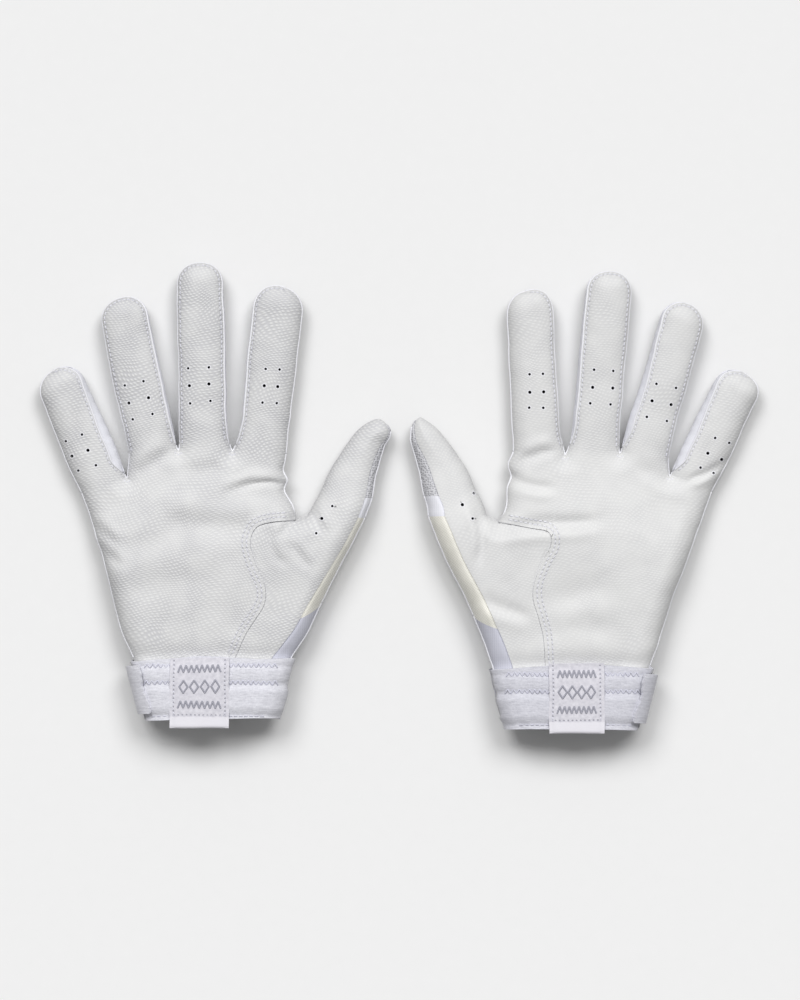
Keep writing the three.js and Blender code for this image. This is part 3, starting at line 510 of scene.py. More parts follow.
def panel(hand, grids, thick, height=None, rings=(), holes=(), seam=None, turn=0):
    """A sewn panel: its height above the skin is a function of its plan points and their side. seam is a line
    of stitches and how far to each side of it the rows lie."""
    flat, faces = weld(grids)
    for ring, margin in rings:
        flat, faces = punch(flat, faces, ring, margin)
    marks = np.zeros(len(faces), int)
    for centre, radius in holes:
        flat, faces, marks = drill(flat, faces, marks, centre, radius)
    used, faces = np.unique(faces, return_inverse=True)
    flat, faces = flat[used], faces.reshape(-1, 4)
    xy, side, lift = flat[:, :2], flat[:, 2], flat[:, 3]
    skin = np.column_stack([xy, hand.skin(xy, side, lift)])
    out = vertex_normals(skin, faces)
    if (out[:, 2] * side).sum() < 0:
        faces, out = faces[:, ::-1], -out
    guide = hand.on_skin(xy, side, lift)[1]
    out = np.where((out * guide).sum(1, keepdims=True) < turned_over, guide, out)
    raised = height(xy, side) if height else np.zeros(len(xy))
    stitched = np.tile(unstitched, (len(xy), 1))
    if seam:
        line, spacing = seam
        distance, along, way = near(xy, line)
        beside_line = np.where(side > 0, distance * way, far)
        stitched = np.column_stack([along, beside_line, np.full(len(xy), spacing)])
        row = (np.abs(stitched[:, 1]) - spacing) / groove_width
        raised = raised - groove_depth * np.exp(-row * row)
    part = thicken(skin, faces, thick, out, raised, marks)
    cos, sin = math.cos(turn), math.sin(turn)
    lay = np.column_stack([xy @ (cos, -sin), xy @ (sin, cos), side])
    part["lay"], part["seam"] = np.tile(lay, (2, 1)), np.tile(stitched, (2, 1))
    return part


def slab(grid, thick, outward):
    """A strip from a grid of 3D points, with its faces turned outward"""
    flat = grid.reshape(-1, 3)
    ids = np.arange(len(flat)).reshape(grid.shape[:2])
    faces = np.stack([ids[:-1, :-1], ids[:-1, 1:], ids[1:, 1:], ids[1:, :-1]], -1).reshape(-1, 4)
    out = vertex_normals(flat, faces)
    if (out * outward).sum() < 0:
        faces, out = faces[:, ::-1], -out
    part = thicken(flat, faces, thick, out)
    run = lengths(grid[:, 0])[:, None] + np.zeros(grid.shape[1])
    across = np.linalg.norm(np.diff(grid[len(grid) // 2], axis=0, prepend=grid[len(grid) // 2][:1]), axis=1)
    lay = np.stack([np.cumsum(across) + np.zeros((len(grid), 1)), run, np.zeros_like(run)], -1).reshape(-1, 3)
    part["lay"] = np.tile(lay, (2, 1))
    return part


def tube(line, radius, look=0, sides=8):
    """A round cord along a chain of 3D points, closed at both ends"""
    way = unit(np.gradient(line, axis=0))
    across = unit(np.cross(way, (0.0, 0.0, 1.0)))
    up = np.cross(across, way)
    turn = np.linspace(0, 2 * np.pi, sides, endpoint=False)
    ring = np.cos(turn)[:, None] * across[:, None] + np.sin(turn)[:, None] * up[:, None]
    verts = (line[:, None] + ring * np.reshape(radius, (-1, 1, 1))).reshape(-1, 3)
    return lofted(verts, 1, len(line), sides, look)


def lofted(verts, count, rings, sides, look):
    """Quads round `count` tubes of `rings` rings, with flat caps"""
    start = (np.arange(count) * rings * sides)[:, None, None]
    ring = (np.arange(rings - 1) * sides)[None, :, None]
    j = np.arange(sides)
    a, b = start + ring + j, start + ring + (j + 1) % sides
    quads = [np.stack([a, b, b + sides, a + sides], -1).reshape(-1, 4)]
    for k in range(0, sides - 2, 2):
        cap = np.array([0, k + 3, k + 2, k + 1]) if k + 3 < sides else np.array([0, k + 2, k + 1, 0])
        quads.append(start[:, 0] + cap)
        quads.append(start[:, 0] + (rings - 1) * sides + cap[::-1])
    faces = np.concatenate(quads)
    return {"verts": verts, "faces": faces, "look": np.full(len(faces), look)}


thread_rings, thread_sides = 7, 6
thread_end = 0.6         # a thread's thickness where it enters the cloth, as a share of its middle


def threads(a, b, up, radius, arch, dip, look=0):
    """Many short threads, each from a to b, arched over the cloth and dipping into it at both ends"""
    t = np.linspace(0, 1, thread_rings)[None, :, None]
    rise = arch * np.sin(np.pi * t) - dip * np.abs(2 * t - 1) ** 4
    line = a[:, None] + (b - a)[:, None] * t + up[:, None] * rise
    across = unit(np.cross(b - a, up))[:, None, None]
    turn = np.linspace(0, 2 * np.pi, thread_sides, endpoint=False)[None, None, :, None]
    size = radius * mix(1, thread_end, np.abs(2 * t - 1) ** 6)[:, :, None]
    ring = np.cos(turn) * across + np.sin(turn) * up[:, None, None]
    return lofted((line[:, :, None] + ring * size).reshape(-1, 3), len(a), thread_rings, thread_sides, look)


edge_inset = 0.3         # how far inside the outline the bright edge lies
piping_radius, piping_taper, piping_tip = 0.45, 8, 0.12
stitch_arch, stitch_dip = 0.16, 0.2


def piping(hand, line, inset=0, end=piping_radius):
    """The bright edge of the back fabric, which shows in the side seam as a fine line round the hand"""
    line = beside(line, inset)
    left = lengths(line)[-1] - lengths(line)
    radius = mix(end, piping_radius, smooth(left / piping_taper))
    return tube(np.column_stack([line, hand.skin(line, 1)]), radius, look=2)


def stitch_row(hand, line, side, lift, height, pitch, length, inset=0, radius=0.17):
    """A row of stitches on the skin beside a plan chain"""
    run, row = lengths(line), beside(line, inset)
    middle = np.arange(pitch / 2, run[-1] - pitch / 2, pitch)
    ends = []
    for move in (-length / 2, length / 2):
        spots = np.column_stack([np.interp(middle + move, run, axis) for axis in row.T])
        lifts = np.interp(middle + move, run, np.broadcast_to(lift, len(line)))
        ends.append(hand.on_skin(spots, side, lifts, height))
    up = unit(ends[0][1] + ends[1][1])
    return threads(ends[0][0], ends[1][0], up, radius, stitch_arch, stitch_dip)


def sew(name, hand, parts, looks, body, nodes=()):
    """Joins parts into one piece and settles it. It is fixed to its body, unless the record has a fold joint
    for that body, as for a finger or the thumb; then its transform is baked in and it is left unparented."""
    verts, faces, look, lay, seam, base = [], [], [], [], [], 0
    for part in parts:
        count = len(part["verts"])
        verts.append(part["verts"])
        faces.append(part["faces"] + base)
        look.append(part["look"] + part.get("first", 0))
        lay.append(part.get("lay", part["verts"]))
        seam.append(part.get("seam", np.tile(unstitched, (count, 1))))
        base += count
    verts, faces, look = np.concatenate(verts), np.concatenate(faces), np.concatenate(look)
    if hand.mirror < 0:
        faces = faces[:, ::-1]
    mesh = bpy.data.meshes.new(name)
    corners = [tuple(dict.fromkeys(face)) for face in faces.tolist()]
    mesh.from_pydata(hand.world(hand.settle(verts)).tolist(), [], corners)
    mesh.polygons.foreach_set("use_smooth", np.ones(len(faces), bool))
    mesh.polygons.foreach_set("material_index", look.astype(np.int32))
    for key, values in (("lay", lay), ("seam", seam)):
        layer = mesh.attributes.new(key, "FLOAT_VECTOR", "POINT")
        layer.data.foreach_set("vector", np.concatenate(values).astype(np.float32).ravel())
    pairs = np.zeros(len(mesh.edges) * 2, np.int32)
    mesh.edges.foreach_get("vertices", pairs)
    key = lambda a, b: np.minimum(a, b).astype(np.int64) * base + np.maximum(a, b)
    around = np.concatenate([key(faces[:, i], faces[:, (i + 1) % 4]) for i in range(4)])
    known, number = np.unique(around, return_inverse=True)
    low, high = np.full(len(known), 99), np.full(len(known), -1)
    np.minimum.at(low, number, np.tile(look, 4))
    np.maximum.at(high, number, np.tile(look, 4))
    pairs = pairs.reshape(-1, 2)
    spot = np.searchsorted(known, key(pairs[:, 0], pairs[:, 1]))
    sharp = low[spot] != high[spot]
    mesh.attributes.new("sharp_edge", "BOOLEAN", "EDGE").data.foreach_set("value", sharp)
    for finish in looks:
        mesh.materials.append(finish)
    piece = bpy.data.objects.new(f"{hand.side}_{name}", mesh)
    bpy.context.scene.collection.objects.link(piece)
    hinge = next((j for j in frame["joints"] if j["name"] == f"{hand.side}_{body}_fold"), None)
    if hinge:
        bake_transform(piece)
    else:
        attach(piece, f"{hand.side}_{body}")
    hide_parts(*(f"{hand.side}_{node}" for node in nodes))
    return piece


def linear(hex_colour):
    parts = [int(hex_colour[i : i + 2], 16) / 255 for i in (1, 3, 5)]
    return (*(c / 12.92 if c <= 0.04045 else ((c + 0.055) / 1.055) ** 2.4 for c in parts), 1)


def add(tree, kind, inputs={}, **settings):
    """Adds a node. inputs maps a socket to its value, or to the output that feeds it."""
    new = tree.nodes.new("ShaderNode" + kind)
    for key, value in settings.items():
        setattr(new, key, value)
    for key, value in inputs.items():
        if isinstance(value, bpy.types.NodeSocket):
            tree.links.new(value, new.inputs[key])
        else:
            new.inputs[key].default_value = value
    return new


def finish(name, roughness, sheen=0.0, ior=1.5):
    new = bpy.data.materials.new(name)
    new.use_nodes = True
    shader = new.node_tree.nodes["Principled BSDF"]
    shader.inputs["Roughness"].default_value = roughness
    shader.inputs["IOR"].default_value = ior
    shader.inputs["Sheen Weight"].default_value = sheen
    shader.inputs["Sheen Roughness"].default_value = 0.5
    return new, new.node_tree, shader


def shade(tree, shader, height, low, high, colour_by):
    """Sends a height in mm to the bump and mixes two hex colours by a factor"""
    bump = add(tree, "Bump", {"Height": height, "Distance": mm, "Strength": 1.0})
    tree.links.new(bump.outputs[0], shader.inputs["Normal"])
    tint = add(tree, "Mix", {0: colour_by, 6: linear(low), 7: linear(high)}, data_type="RGBA")
    tree.links.new(tint.outputs[2], shader.inputs["Base Color"])


# Tanned white sheepskin, pressed with staggered rows of small oval pebbles. It gives a soft matt grey-white
# with a light crown and a shaded foot on each pebble; the shade between the pebbles is also painted into the
# colour, deeper where the press is deeper. The press is uneven, so the grain comes and goes.
pebble_length, pebble_row = 2.2, 1.35
pebble_crown, pebble_foot = 0.05, 0.52   # where a pebble's dome starts and ends, in pebbles
press_depths = {"right": (0.13, 0.16), "left": (0.06, 0.08)}      # on the palm and on the fingers
press_change = (84.0, 112.0)             # the depth changes from one to the other between these heights
drift_size, drift_reach = 28, 10.0       # the rows of pebbles wander by this much over this length
press_size, fibre_depth = 14, 0.03
# the last of these darkens the valleys between the pebbles: painted shade
dirt_size, most_darkening, valley_painted_shade = 9, 0.08, 3.6
# the last of these paints shade into the needle dents
stitch_pitch, dent_depth, dent_painted_shade = 2.3, 0.15, 0.25
seam_band = (0.3, 1.2)                   # the leather is darker along the stitches, from full to none
needle_hole = (0.2, 0.5)                 # a dent is deepest inside the first radius and ends at the second


def needle_marks(tree, along, distance, pitch):
    """1 in the small dents where the needle went in along a line"""
    step = add(tree, "Math", {0: along, 1: pitch / 2}, operation="PINGPONG")
    spot = add(tree, "CombineXYZ", {0: step.outputs[0], 1: distance})
    reach = add(tree, "VectorMath", {0: spot.outputs[0]}, operation="LENGTH")
    inner, outer = needle_hole
    return add(tree, "MapRange", {0: reach.outputs["Value"], 1: inner, 2: outer, 3: 1.0, 4: 0.0}).outputs[0]


def embossed_sheepskin(name, palm_depth, finger_depth):
    new, tree, shader = finish(name + "_pressed_sheepskin", 0.6, sheen=0.1)
    plan = add(tree, "Attribute", attribute_name="lay").outputs["Vector"]
    drift = add(tree, "TexNoise", {"Vector": plan, "Scale": 1 / drift_size, "Detail": 1.0},
                noise_dimensions="2D")
    moved = add(tree, "VectorMath", {0: drift.outputs["Color"], 1: (drift_reach, drift_reach, 0.0)},
                operation="MULTIPLY")
    lay = add(tree, "VectorMath", {0: plan, 1: moved.outputs[0]}, operation="ADD").outputs[0]
    across, down = (1 / pebble_length, 0.5 / pebble_row, 0), (-0.25 / pebble_row, 1 / pebble_row, 0)
    x = add(tree, "VectorMath", {0: lay, 1: across}, operation="DOT_PRODUCT")
    y = add(tree, "VectorMath", {0: lay, 1: down}, operation="DOT_PRODUCT")
    rows = add(tree, "CombineXYZ", {0: x.outputs["Value"], 1: y.outputs["Value"]})
    pebbles = add(tree, "TexVoronoi", {"Vector": rows.outputs[0], "Scale": 1.0, "Randomness": 0.25},
                  voronoi_dimensions="2D")
    centre = pebbles.outputs["Distance"]
    dome = add(tree, "MapRange", {0: centre, 1: pebble_crown, 2: pebble_foot, 3: 1.0, 4: 0.0},
               interpolation_type="SMOOTHSTEP")
    fade = add(tree, "TexNoise", {"Vector": lay, "Scale": 1 / press_size, "Detail": 1.0},
               noise_dimensions="2D")
    press = add(tree, "MapRange", {0: fade.outputs[0], 1: 0.35, 2: 0.65, 3: 0.6, 4: 1.0})
    level = add(tree, "SeparateXYZ", {0: plan})
    low, high = press_change
    deep = add(tree, "MapRange", {0: level.outputs[1], 1: low, 2: high, 3: palm_depth, 4: finger_depth})
    depth = add(tree, "Math", {0: press.outputs[0], 1: deep.outputs[0]}, operation="MULTIPLY")
    grain = add(tree, "TexNoise", {"Vector": lay, "Scale": 2.2, "Detail": 2.0})
    rough = add(tree, "Math", {0: grain.outputs[0], 1: fibre_depth}, operation="MULTIPLY")
    height = add(tree, "Math", {0: dome.outputs[0], 1: depth.outputs[0], 2: rough.outputs[0]},
                 operation="MULTIPLY_ADD")
    seam = add(tree, "SeparateXYZ", {0: add(tree, "Attribute", attribute_name="seam").outputs["Vector"]})
    row = add(tree, "Math", {0: seam.outputs[1]}, operation="ABSOLUTE")
    row = add(tree, "Math", {0: row.outputs[0], 1: seam.outputs[2]}, operation="SUBTRACT")
    row = add(tree, "Math", {0: row.outputs[0]}, operation="ABSOLUTE")
    mark = needle_marks(tree, seam.outputs[0], row.outputs[0], stitch_pitch)
    dent = add(tree, "Math", {0: mark, 1: -dent_depth, 2: height.outputs[0]}, operation="MULTIPLY_ADD")
    # painted shade between the pebbles, deeper where the press is deep; random dirt; darker along the
    # stitches
    valley = add(tree, "Math", {0: 1.0, 1: dome.outputs[0]}, operation="SUBTRACT")
    valley = add(tree, "Math", {0: valley.outputs[0], 1: depth.outputs[0]}, operation="MULTIPLY")
    worn = add(tree, "TexNoise", {"Vector": lay, "Scale": 1 / dirt_size, "Detail": 3.0})
    worn = add(tree, "MapRange", {0: worn.outputs[0], 1: 0.3, 2: 0.7, 3: 0.0, 4: most_darkening})
    shadow = add(tree, "Math", {0: valley.outputs[0], 1: valley_painted_shade, 2: worn.outputs[0]},
                 operation="MULTIPLY_ADD")
    full, none = seam_band
    band = add(tree, "MapRange", {0: row.outputs[0], 1: full, 2: none, 3: most_darkening, 4: 0.0})
    shadow = add(tree, "Math", {0: shadow.outputs[0], 1: band.outputs[0]}, operation="ADD")
    # the needle dents are darkened as painted shade
    shadow = add(tree, "Math", {0: mark, 1: dent_painted_shade, 2: shadow.outputs[0]}, operation="MULTIPLY_ADD",
                 use_clamp=True)
    shade(tree, shader, dent.outputs[0], "#E2E2E1", "#B4B4BA", shadow.outputs[0])
    return new


sheepskin = {side: embossed_sheepskin(side, *depths) for side, depths in press_depths.items()}


# The inside of the leather is its brushed flesh side, coloured dark grey: painted shade, which gives the
# punched holes and the glove's inside their black. A cut edge is bright and fibrous, with a fine nap.
def plain_hide(name, low, high, roughness, size, depth):
    new, tree, shader = finish(name, roughness, sheen=0.3)
    lay = add(tree, "Attribute", attribute_name="lay").outputs["Vector"]
    nap = add(tree, "TexNoise", {"Vector": lay, "Scale": 1 / size, "Detail": 4.0, "Roughness": 0.65})
    height = add(tree, "Math", {0: nap.outputs[0], 1: depth}, operation="MULTIPLY")
    shade(tree, shader, height.outputs[0], low, high, nap.outputs[0])
    return new


shaded_flesh_side = plain_hide("dyed_flesh_side", "#2B2B2D", "#454548", 0.95, 0.8, 0.1)
cut_edge = plain_hide("cut_leather_edge", "#E6E6EC", "#F2F2F6", 0.8, 0.5, 0.05)

# White polyester jersey, knitted in fine wales. It gives a smooth lilac-white with faint ribs. The real knit
# has stitches of 0.5 mm; they are drawn 0.9 mm wide so that they show. The gusset's jersey is greyer, and
# the lining is dark grey: painted shade for the glove's inside.
wale, course, knit_depth = 0.9, 0.75, 0.09
loop_slant, fuzz_per_mm, fuzz_share = 1.2, 1.6, 0.5


def jersey(name, low, high):
    new, tree, shader = finish(name, 0.8, sheen=0.35)
    lay = add(tree, "Attribute", attribute_name="lay").outputs["Vector"]
    ribs = add(tree, "Mapping", {"Vector": lay, "Scale": (1 / wale, 1 / course, 1)}, vector_type="POINT")
    split = add(tree, "SeparateXYZ", {0: ribs.outputs[0]})
    side = add(tree, "Math", {0: split.outputs[0], 1: 0.5}, operation="PINGPONG")
    slant = add(tree, "Math", {0: side.outputs[0], 1: loop_slant, 2: split.outputs[1]},
                operation="MULTIPLY_ADD")
    loop = add(tree, "Math", {0: slant.outputs[0], 1: 0.5}, operation="PINGPONG")
    rib = add(tree, "Math", {0: side.outputs[0], 1: loop.outputs[0]}, operation="ADD")
    fuzz = add(tree, "TexNoise", {"Vector": lay, "Scale": fuzz_per_mm, "Detail": 3.0})
    knit = add(tree, "Math", {0: fuzz.outputs[0], 1: fuzz_share, 2: rib.outputs[0]}, operation="MULTIPLY_ADD")
    height = add(tree, "Math", {0: knit.outputs[0], 1: knit_depth}, operation="MULTIPLY")
    shade(tree, shader, height.outputs[0], low, high, rib.outputs[0])
    return new


knit_white = jersey("polyester_jersey", "#E3E4EC", "#F4F4FA")
# a greyer copy of the same jersey, for the gusset
knit_grey = jersey("worn_polyester_jersey", "#BEBFCC", "#D6D7E2")
shaded_knit_lining = jersey("grey_jersey_lining", "#3A3A3E", "#55555A")


def simple(name, colour, roughness, sheen=0.0):
    new, tree, shader = finish(name, roughness, sheen)
    shader.inputs["Base Color"].default_value = linear(colour)
    return new


# Spun polyester thread gives a bright, slightly blue line with a soft gloss
sewing_thread = simple("polyester_sewing_thread", "#EDEDF8", 0.5, 0.3)

leather_looks = {side: [sheepskin[side], shaded_flesh_side, cut_edge] for side in press_depths}
# inner faces take the dark lining: painted shade
knit_looks = [knit_white, shaded_knit_lining, knit_white]
leather, knit, wall_knit = 1.0, 0.8, 0.5
edge_turns = np.radians(np.arange(0, 61, 10))
edge_steps = edge_radius * (1 - np.cos(edge_turns))      # distances from an outline, close where it is steep
middle_columns, wrap_columns = 16, 4
stitch_inset, stitch_length = 1.2, 1.7
tuck_depth, tuck_width, tuck_slope = 1.15, 2.0, 1.2      # a panel that lies under rolled leather
cut_roll, cut_roll_tip, cut_roll_rise = 0.42, 0.28, 0.2  # the bright edge: radius, radius at its ends, rise
knit_roll, stitches_sunk = 0.3, 0.1
perforations = {         # pixel places: the first and last rows are small holes, the middle row larger
    "right": {
        "little": [(82.5, 434.5), (66.3, 441.3), (88.3, 450.3), (72.3, 456.3), (96, 465.3), (78.3, 470.8)],
        "ring": [(144.3, 381.5), (124.8, 385.5), (149.3, 398), (128.8, 403.3), (153, 414.3), (133, 419.3)],
        "middle": [(188.3, 368.3), (209.3, 367.5), (189.5, 385.8), (209.5, 384), (190, 403.3),
                   (210.8, 401.3)],
        "index": [(266, 369.3), (279.8, 369.8), (264.3, 386.3), (278.3, 386.8), (262.8, 403), (277.5, 403.5)],
        "thumb": [(332.4, 506.4), (321.8, 518.6), (316.2, 533.4)],
    },
    "left": {
        "little": [(715, 438), (729.3, 443), (707.5, 453.3), (721.8, 459.3), (700, 468), (713.3, 473)],
        "ring": [(655.8, 383.8), (675.5, 388), (651.8, 400.8), (670.5, 404.5), (646.8, 417), (666.3, 420.8)],
        "middle": [(593.8, 370), (613.3, 371.3), (592.3, 387.5), (612.5, 388.3), (590, 403.3),
                   (610.3, 404.5)],
        "index": [(529.5, 374.3), (542.8, 373.8), (529.3, 392.5), (543.3, 391.8), (529, 408), (542.8, 407.8)],
        "thumb": [(474, 493), (462.6, 504.4), (472.2, 518)],
    },
}
small_hole, large_hole = 0.65, 0.8


def finger_holes(hand, name):
    spots = hand.from_photo(perforations[hand.side][name])
    return [(spot, large_hole if i in (2, 3) else small_hole) for i, spot in enumerate(spots)]


wall_root, wall_tip = 0.225, 0.2025      # shares of a finger over which its walls grow and end


def wall_lift(along, walled):
    """Half the height of the side wall along a finger's edge"""
    grown = smooth(along / wall_root) * smooth((1 - along) / wall_tip)
    return np.where(walled, seam_gap / 2 + wall_height / 2 * grown, 0)


# How wide a strip of each walled side, outer and inner, shows beside the leather, in mm. It grows over the
# first share of the finger, and narrows by another from there on.
show_root, show_loss, show_from, show_over = 0.16, 0.7, 0.3, 0.6
wall_shows = {
    "right": {"little": (0, 3.8), "ring": (0, 0.6), "middle": (0, 0.3), "index": (0.4, 0)},
    "left": {"little": (0, 3.4), "ring": (0, 2.3), "middle": (0, 1.0), "index": (0, 0.3)},
}


def shown(hand, finger, along, edge):
    """The part of a finger's half width that its leather reaches on that side"""
    show = wall_shows[hand.side][finger.name][int(edge > 0)]
    grown = smooth(along / show_root) * (1 - show_loss * smooth((along - show_from) / show_over))
    return 1 - show * grown / np.maximum(finger.half(along, edge), 3.0)


def finger_columns(finger):
    steps = edge_steps / (finger.width / 2)
    inner = np.linspace(-1 + steps[-1], 1 - steps[-1], middle_columns)[1:-1]
    return np.concatenate([-1 + steps, inner, (1 - steps)[::-1]])


def finger_grid(hand, finger, side):
    along, across = np.meshgrid(finger.rows, finger_columns(finger), indexing="ij")
    if side > 0:
        across = across * np.where(across < 0, shown(hand, finger, along, -1), shown(hand, finger, along, 1))
    lift = np.where(across < 0, wall_lift(along, finger.walls[0]), wall_lift(along, finger.walls[1]))
    return cells(finger.place(along, across), side, lift)


def rolled(grid, first, last):
    """The grid with its first or last columns repeated on the back, where leather rolls over the edge"""
    turned = grid * (1, 1, -1, 1)
    left = [turned[:, wrap_columns:0:-1]] if first else []
    right = [turned[:, -2 : -2 - wrap_columns : -1]] if last else []
    return np.concatenate([*left, grid, *right], 1)


def tucked_under(lines):
    """Height of a panel that lies under rolled leather along some lines"""
    def height(xy, side):
        if not len(lines):
            return np.zeros(len(xy))
        distance = np.min([near(xy, line)[0] for line in lines], 0)
        return -tuck_depth * (1 - smooth((distance - tuck_width) / tuck_slope))
    return height


last_of_tip = 0.985      # beyond this share of a finger its edge is walled from both sides


def edge_path(hand, finger, side):
    """The walled part of a panel's edge on a finger and the wall's lift there"""
    along = np.concatenate([finger.rows, finger.rows[::-1]])
    first = np.arange(len(along)) < len(finger.rows)
    reach = np.where(first, -shown(hand, finger, along, -1), shown(hand, finger, along, 1))
    points = finger.place(along, reach if side > 0 else np.sign(reach))
    lift = wall_lift(along, True)
    keep = np.ones(len(along), bool)
    if not finger.walls[0]:
        keep = ~first | (along > last_of_tip)
    if not finger.walls[1]:
        keep = first | (along > last_of_tip)
    return points[keep], lift[keep]


# A wall of knit puffs out between its seams, waves a little along them, and lies back where the leather's
# edge is drawn in from it
wall_start = 0.45        # the strip starts where the wall is half this high
wall_columns = 15
wall_puff, wall_wave, wall_waves_per_mm, wall_back = 0.75, 0.12, 1.1, 0.35
puff_power, inset_power, rise_power = 0.8, 1.6, 0.8


def wall_strip(hand, finger, edge):
    """The knit wall on one edge of a finger"""
    along = finger.rows[wall_lift(finger.rows, True) > wall_start]
    outline, lifts = finger.place(along, edge), wall_lift(along, True)
    outward = unit(outline - finger.place(along, 0))
    leather_edge = finger.place(along, edge * shown(hand, finger, along, edge))
    inset = np.linalg.norm(outline - leather_edge, axis=1)[:, None]
    t = np.linspace(-1, 1, wall_columns)
    middle = hand.skin(outline, 1, 0)
    rise = hand.skin(leather_edge, 1, lifts) - middle
    bulge = wall_puff * np.cos(np.pi / 2 * t) ** puff_power * (lifts / lifts.max())[:, None]
    waves = np.sin(along * finger.length * wall_waves_per_mm)[:, None]
    bulge += wall_wave * waves * np.cos(np.pi / 2 * t)
    bulge -= wall_back + inset * np.maximum(t, 0) ** inset_power
    xy = outline[:, None] + outward[:, None] * bulge[..., None]
    level = np.where(t > 0, rise[:, None] * np.maximum(t, 0) ** rise_power, lifts[:, None] * t)
    strip = np.dstack([xy, middle[:, None] + level])
    return slab(strip, wall_knit, (*outward.mean(0), 0))


for hand in hands:
    for finger in hand.fingers:
        points, lift = edge_path(hand, finger, 1)
        run = slice(2, -2)
        stitches = beside(points, -stitch_inset)[run]
        fronts = [rolled(finger_grid(hand, finger, 1), not finger.walls[0], not finger.walls[1])]
        turn = math.atan2(*finger.way)
        front = panel(hand, fronts, leather, holes=finger_holes(hand, finger.name), seam=(stitches, 0))
        edge = np.column_stack([points, hand.skin(points, 1, lift)])[run]
        radius = mix(cut_roll_tip, cut_roll, lift[run] / lift.max())
        rolls = [tube(edge + (0, 0, cut_roll_rise), radius, look=2)]
        rolls += [piping(hand, finger.place(finger.rows, edge), edge * edge_inset, piping_tip)
                  for edge in (-1, 1) if not finger.walls[edge > 0]]
        sew(f"{finger.name}_leather", hand, [front, *rolls], leather_looks[hand.side], finger.name,
            [f"{finger.name}_front"])
        sew(f"{finger.name}_stitching", hand,
            [stitch_row(hand, stitches, 1, lift[run], -stitches_sunk, stitch_pitch, stitch_length)],
            [sewing_thread], finger.name, ())
        rolls = [finger.place(finger.rows, edge) for edge, walled in zip((-1, 1), finger.walls) if not walled]
        back = panel(hand, [finger_grid(hand, finger, -1)], knit, tucked_under(rolls), turn=turn)
        points, lift = edge_path(hand, finger, -1)
        edge = np.column_stack([points, hand.skin(points, -1, lift)])[run]
        sew(f"{finger.name}_knit_back", hand, [back, tube(edge, knit_roll)], knit_looks, finger.name,
            [f"{finger.name}_back"])
        for edge, wall in zip((-1, 1), ("outer_wall", "inner_wall")):
            if finger.walls[edge > 0]:
                sew(f"{finger.name}_{wall}_knit", hand, [wall_strip(hand, finger, edge)], knit_looks,
                    finger.name, [f"{finger.name}_{wall}"])

# Palm
# One embossed sheepskin from the finger folds to the cuff, whose thumb side is a wavy folded edge laid over
# the thumb's leather and held by two rows of stitches. It rolls over the little-finger side to the back.
palm_seams = {
    "right": [
        (11, 0), (17, 13), (24.5, 25), (25.3, 34), (20.6, 45.6), (18.1, 55), (21, 62.2), (29, 65), (39.8, 66),
    ],
    "left": [
        (12.2, 0), (13.6, 16), (17.8, 31), (17.8, 40), (13.7, 51),
        (9.8, 58.5), (11.2, 64.5), (20, 66.5), (34.2, 69.2),
    ],
}
seam_rows = (1.8, 3.8)   # the two stitch rows lie this far inside the folded edge
folded_lift, folded_width, folded_slope = 0.45, 3.0, 3.0
cut_margin, cut_close = 16, 0.3          # leather beyond the seam line, and how close to it the cut runs
tack_radius, tack_turn_deg = 1.9, (200, 340)             # stitches round the foot of each slit


def fill(bottom, top, left, right):
    """Plan points between four edges"""
    s = (lengths(top) / lengths(top)[-1])[None, :, None]
    t = np.linspace(0, 1, len(left))[:, None, None]
    grid = left[:, None] * (1 - s) + right[:, None] * s + bottom * (1 - t) + top * t
    grid = grid - left[0] * (1 - s) * (1 - t) - right[0] * s * (1 - t)
    return grid - left[-1] * (1 - s) * t - right[-1] * s * t


def base_line(left, right, top):
    return mix(left[0], right[0], (lengths(top) / lengths(top)[-1])[:, None])


def width_at(y):
    return mix(wrist_width, mouth_width, clamp(-np.asarray(y) / cuff_height))


def tucked(line):
    """The chain carried on down inside the cuff"""
    return np.vstack([(line[0][0] / wrist_width * width_at(-cuff_tuck), -cuff_tuck), line])


def even(line, step):
    return along_line(line, np.linspace(0, 1, round(lengths(line)[-1] / step) + 1))


def matched(line, like):
    return along_line(line, np.linspace(0, 1, len(like)))


def finger_roots(hand):
    """The fold lines of all four fingers and the slits between them, as one chain"""
    first = hand.fingers[0]
    chain = [first.place(0, finger_columns(first))]
    for slit, finger in zip(hand.slits, hand.fingers[1:]):
        side = even(np.array([slit, finger.place(0, -1)]), row_step)
        chain += [side[:-1], finger.place(0, finger_columns(finger))]
    return np.concatenate(chain)


def turned_edge(grid):
    """The last columns again, on the back, where leather rolls over the right-hand edge"""
    strip = grid[:, ::-1][:, : wrap_columns + 1].copy()
    strip[:, 1:, 2] = -1
    return strip


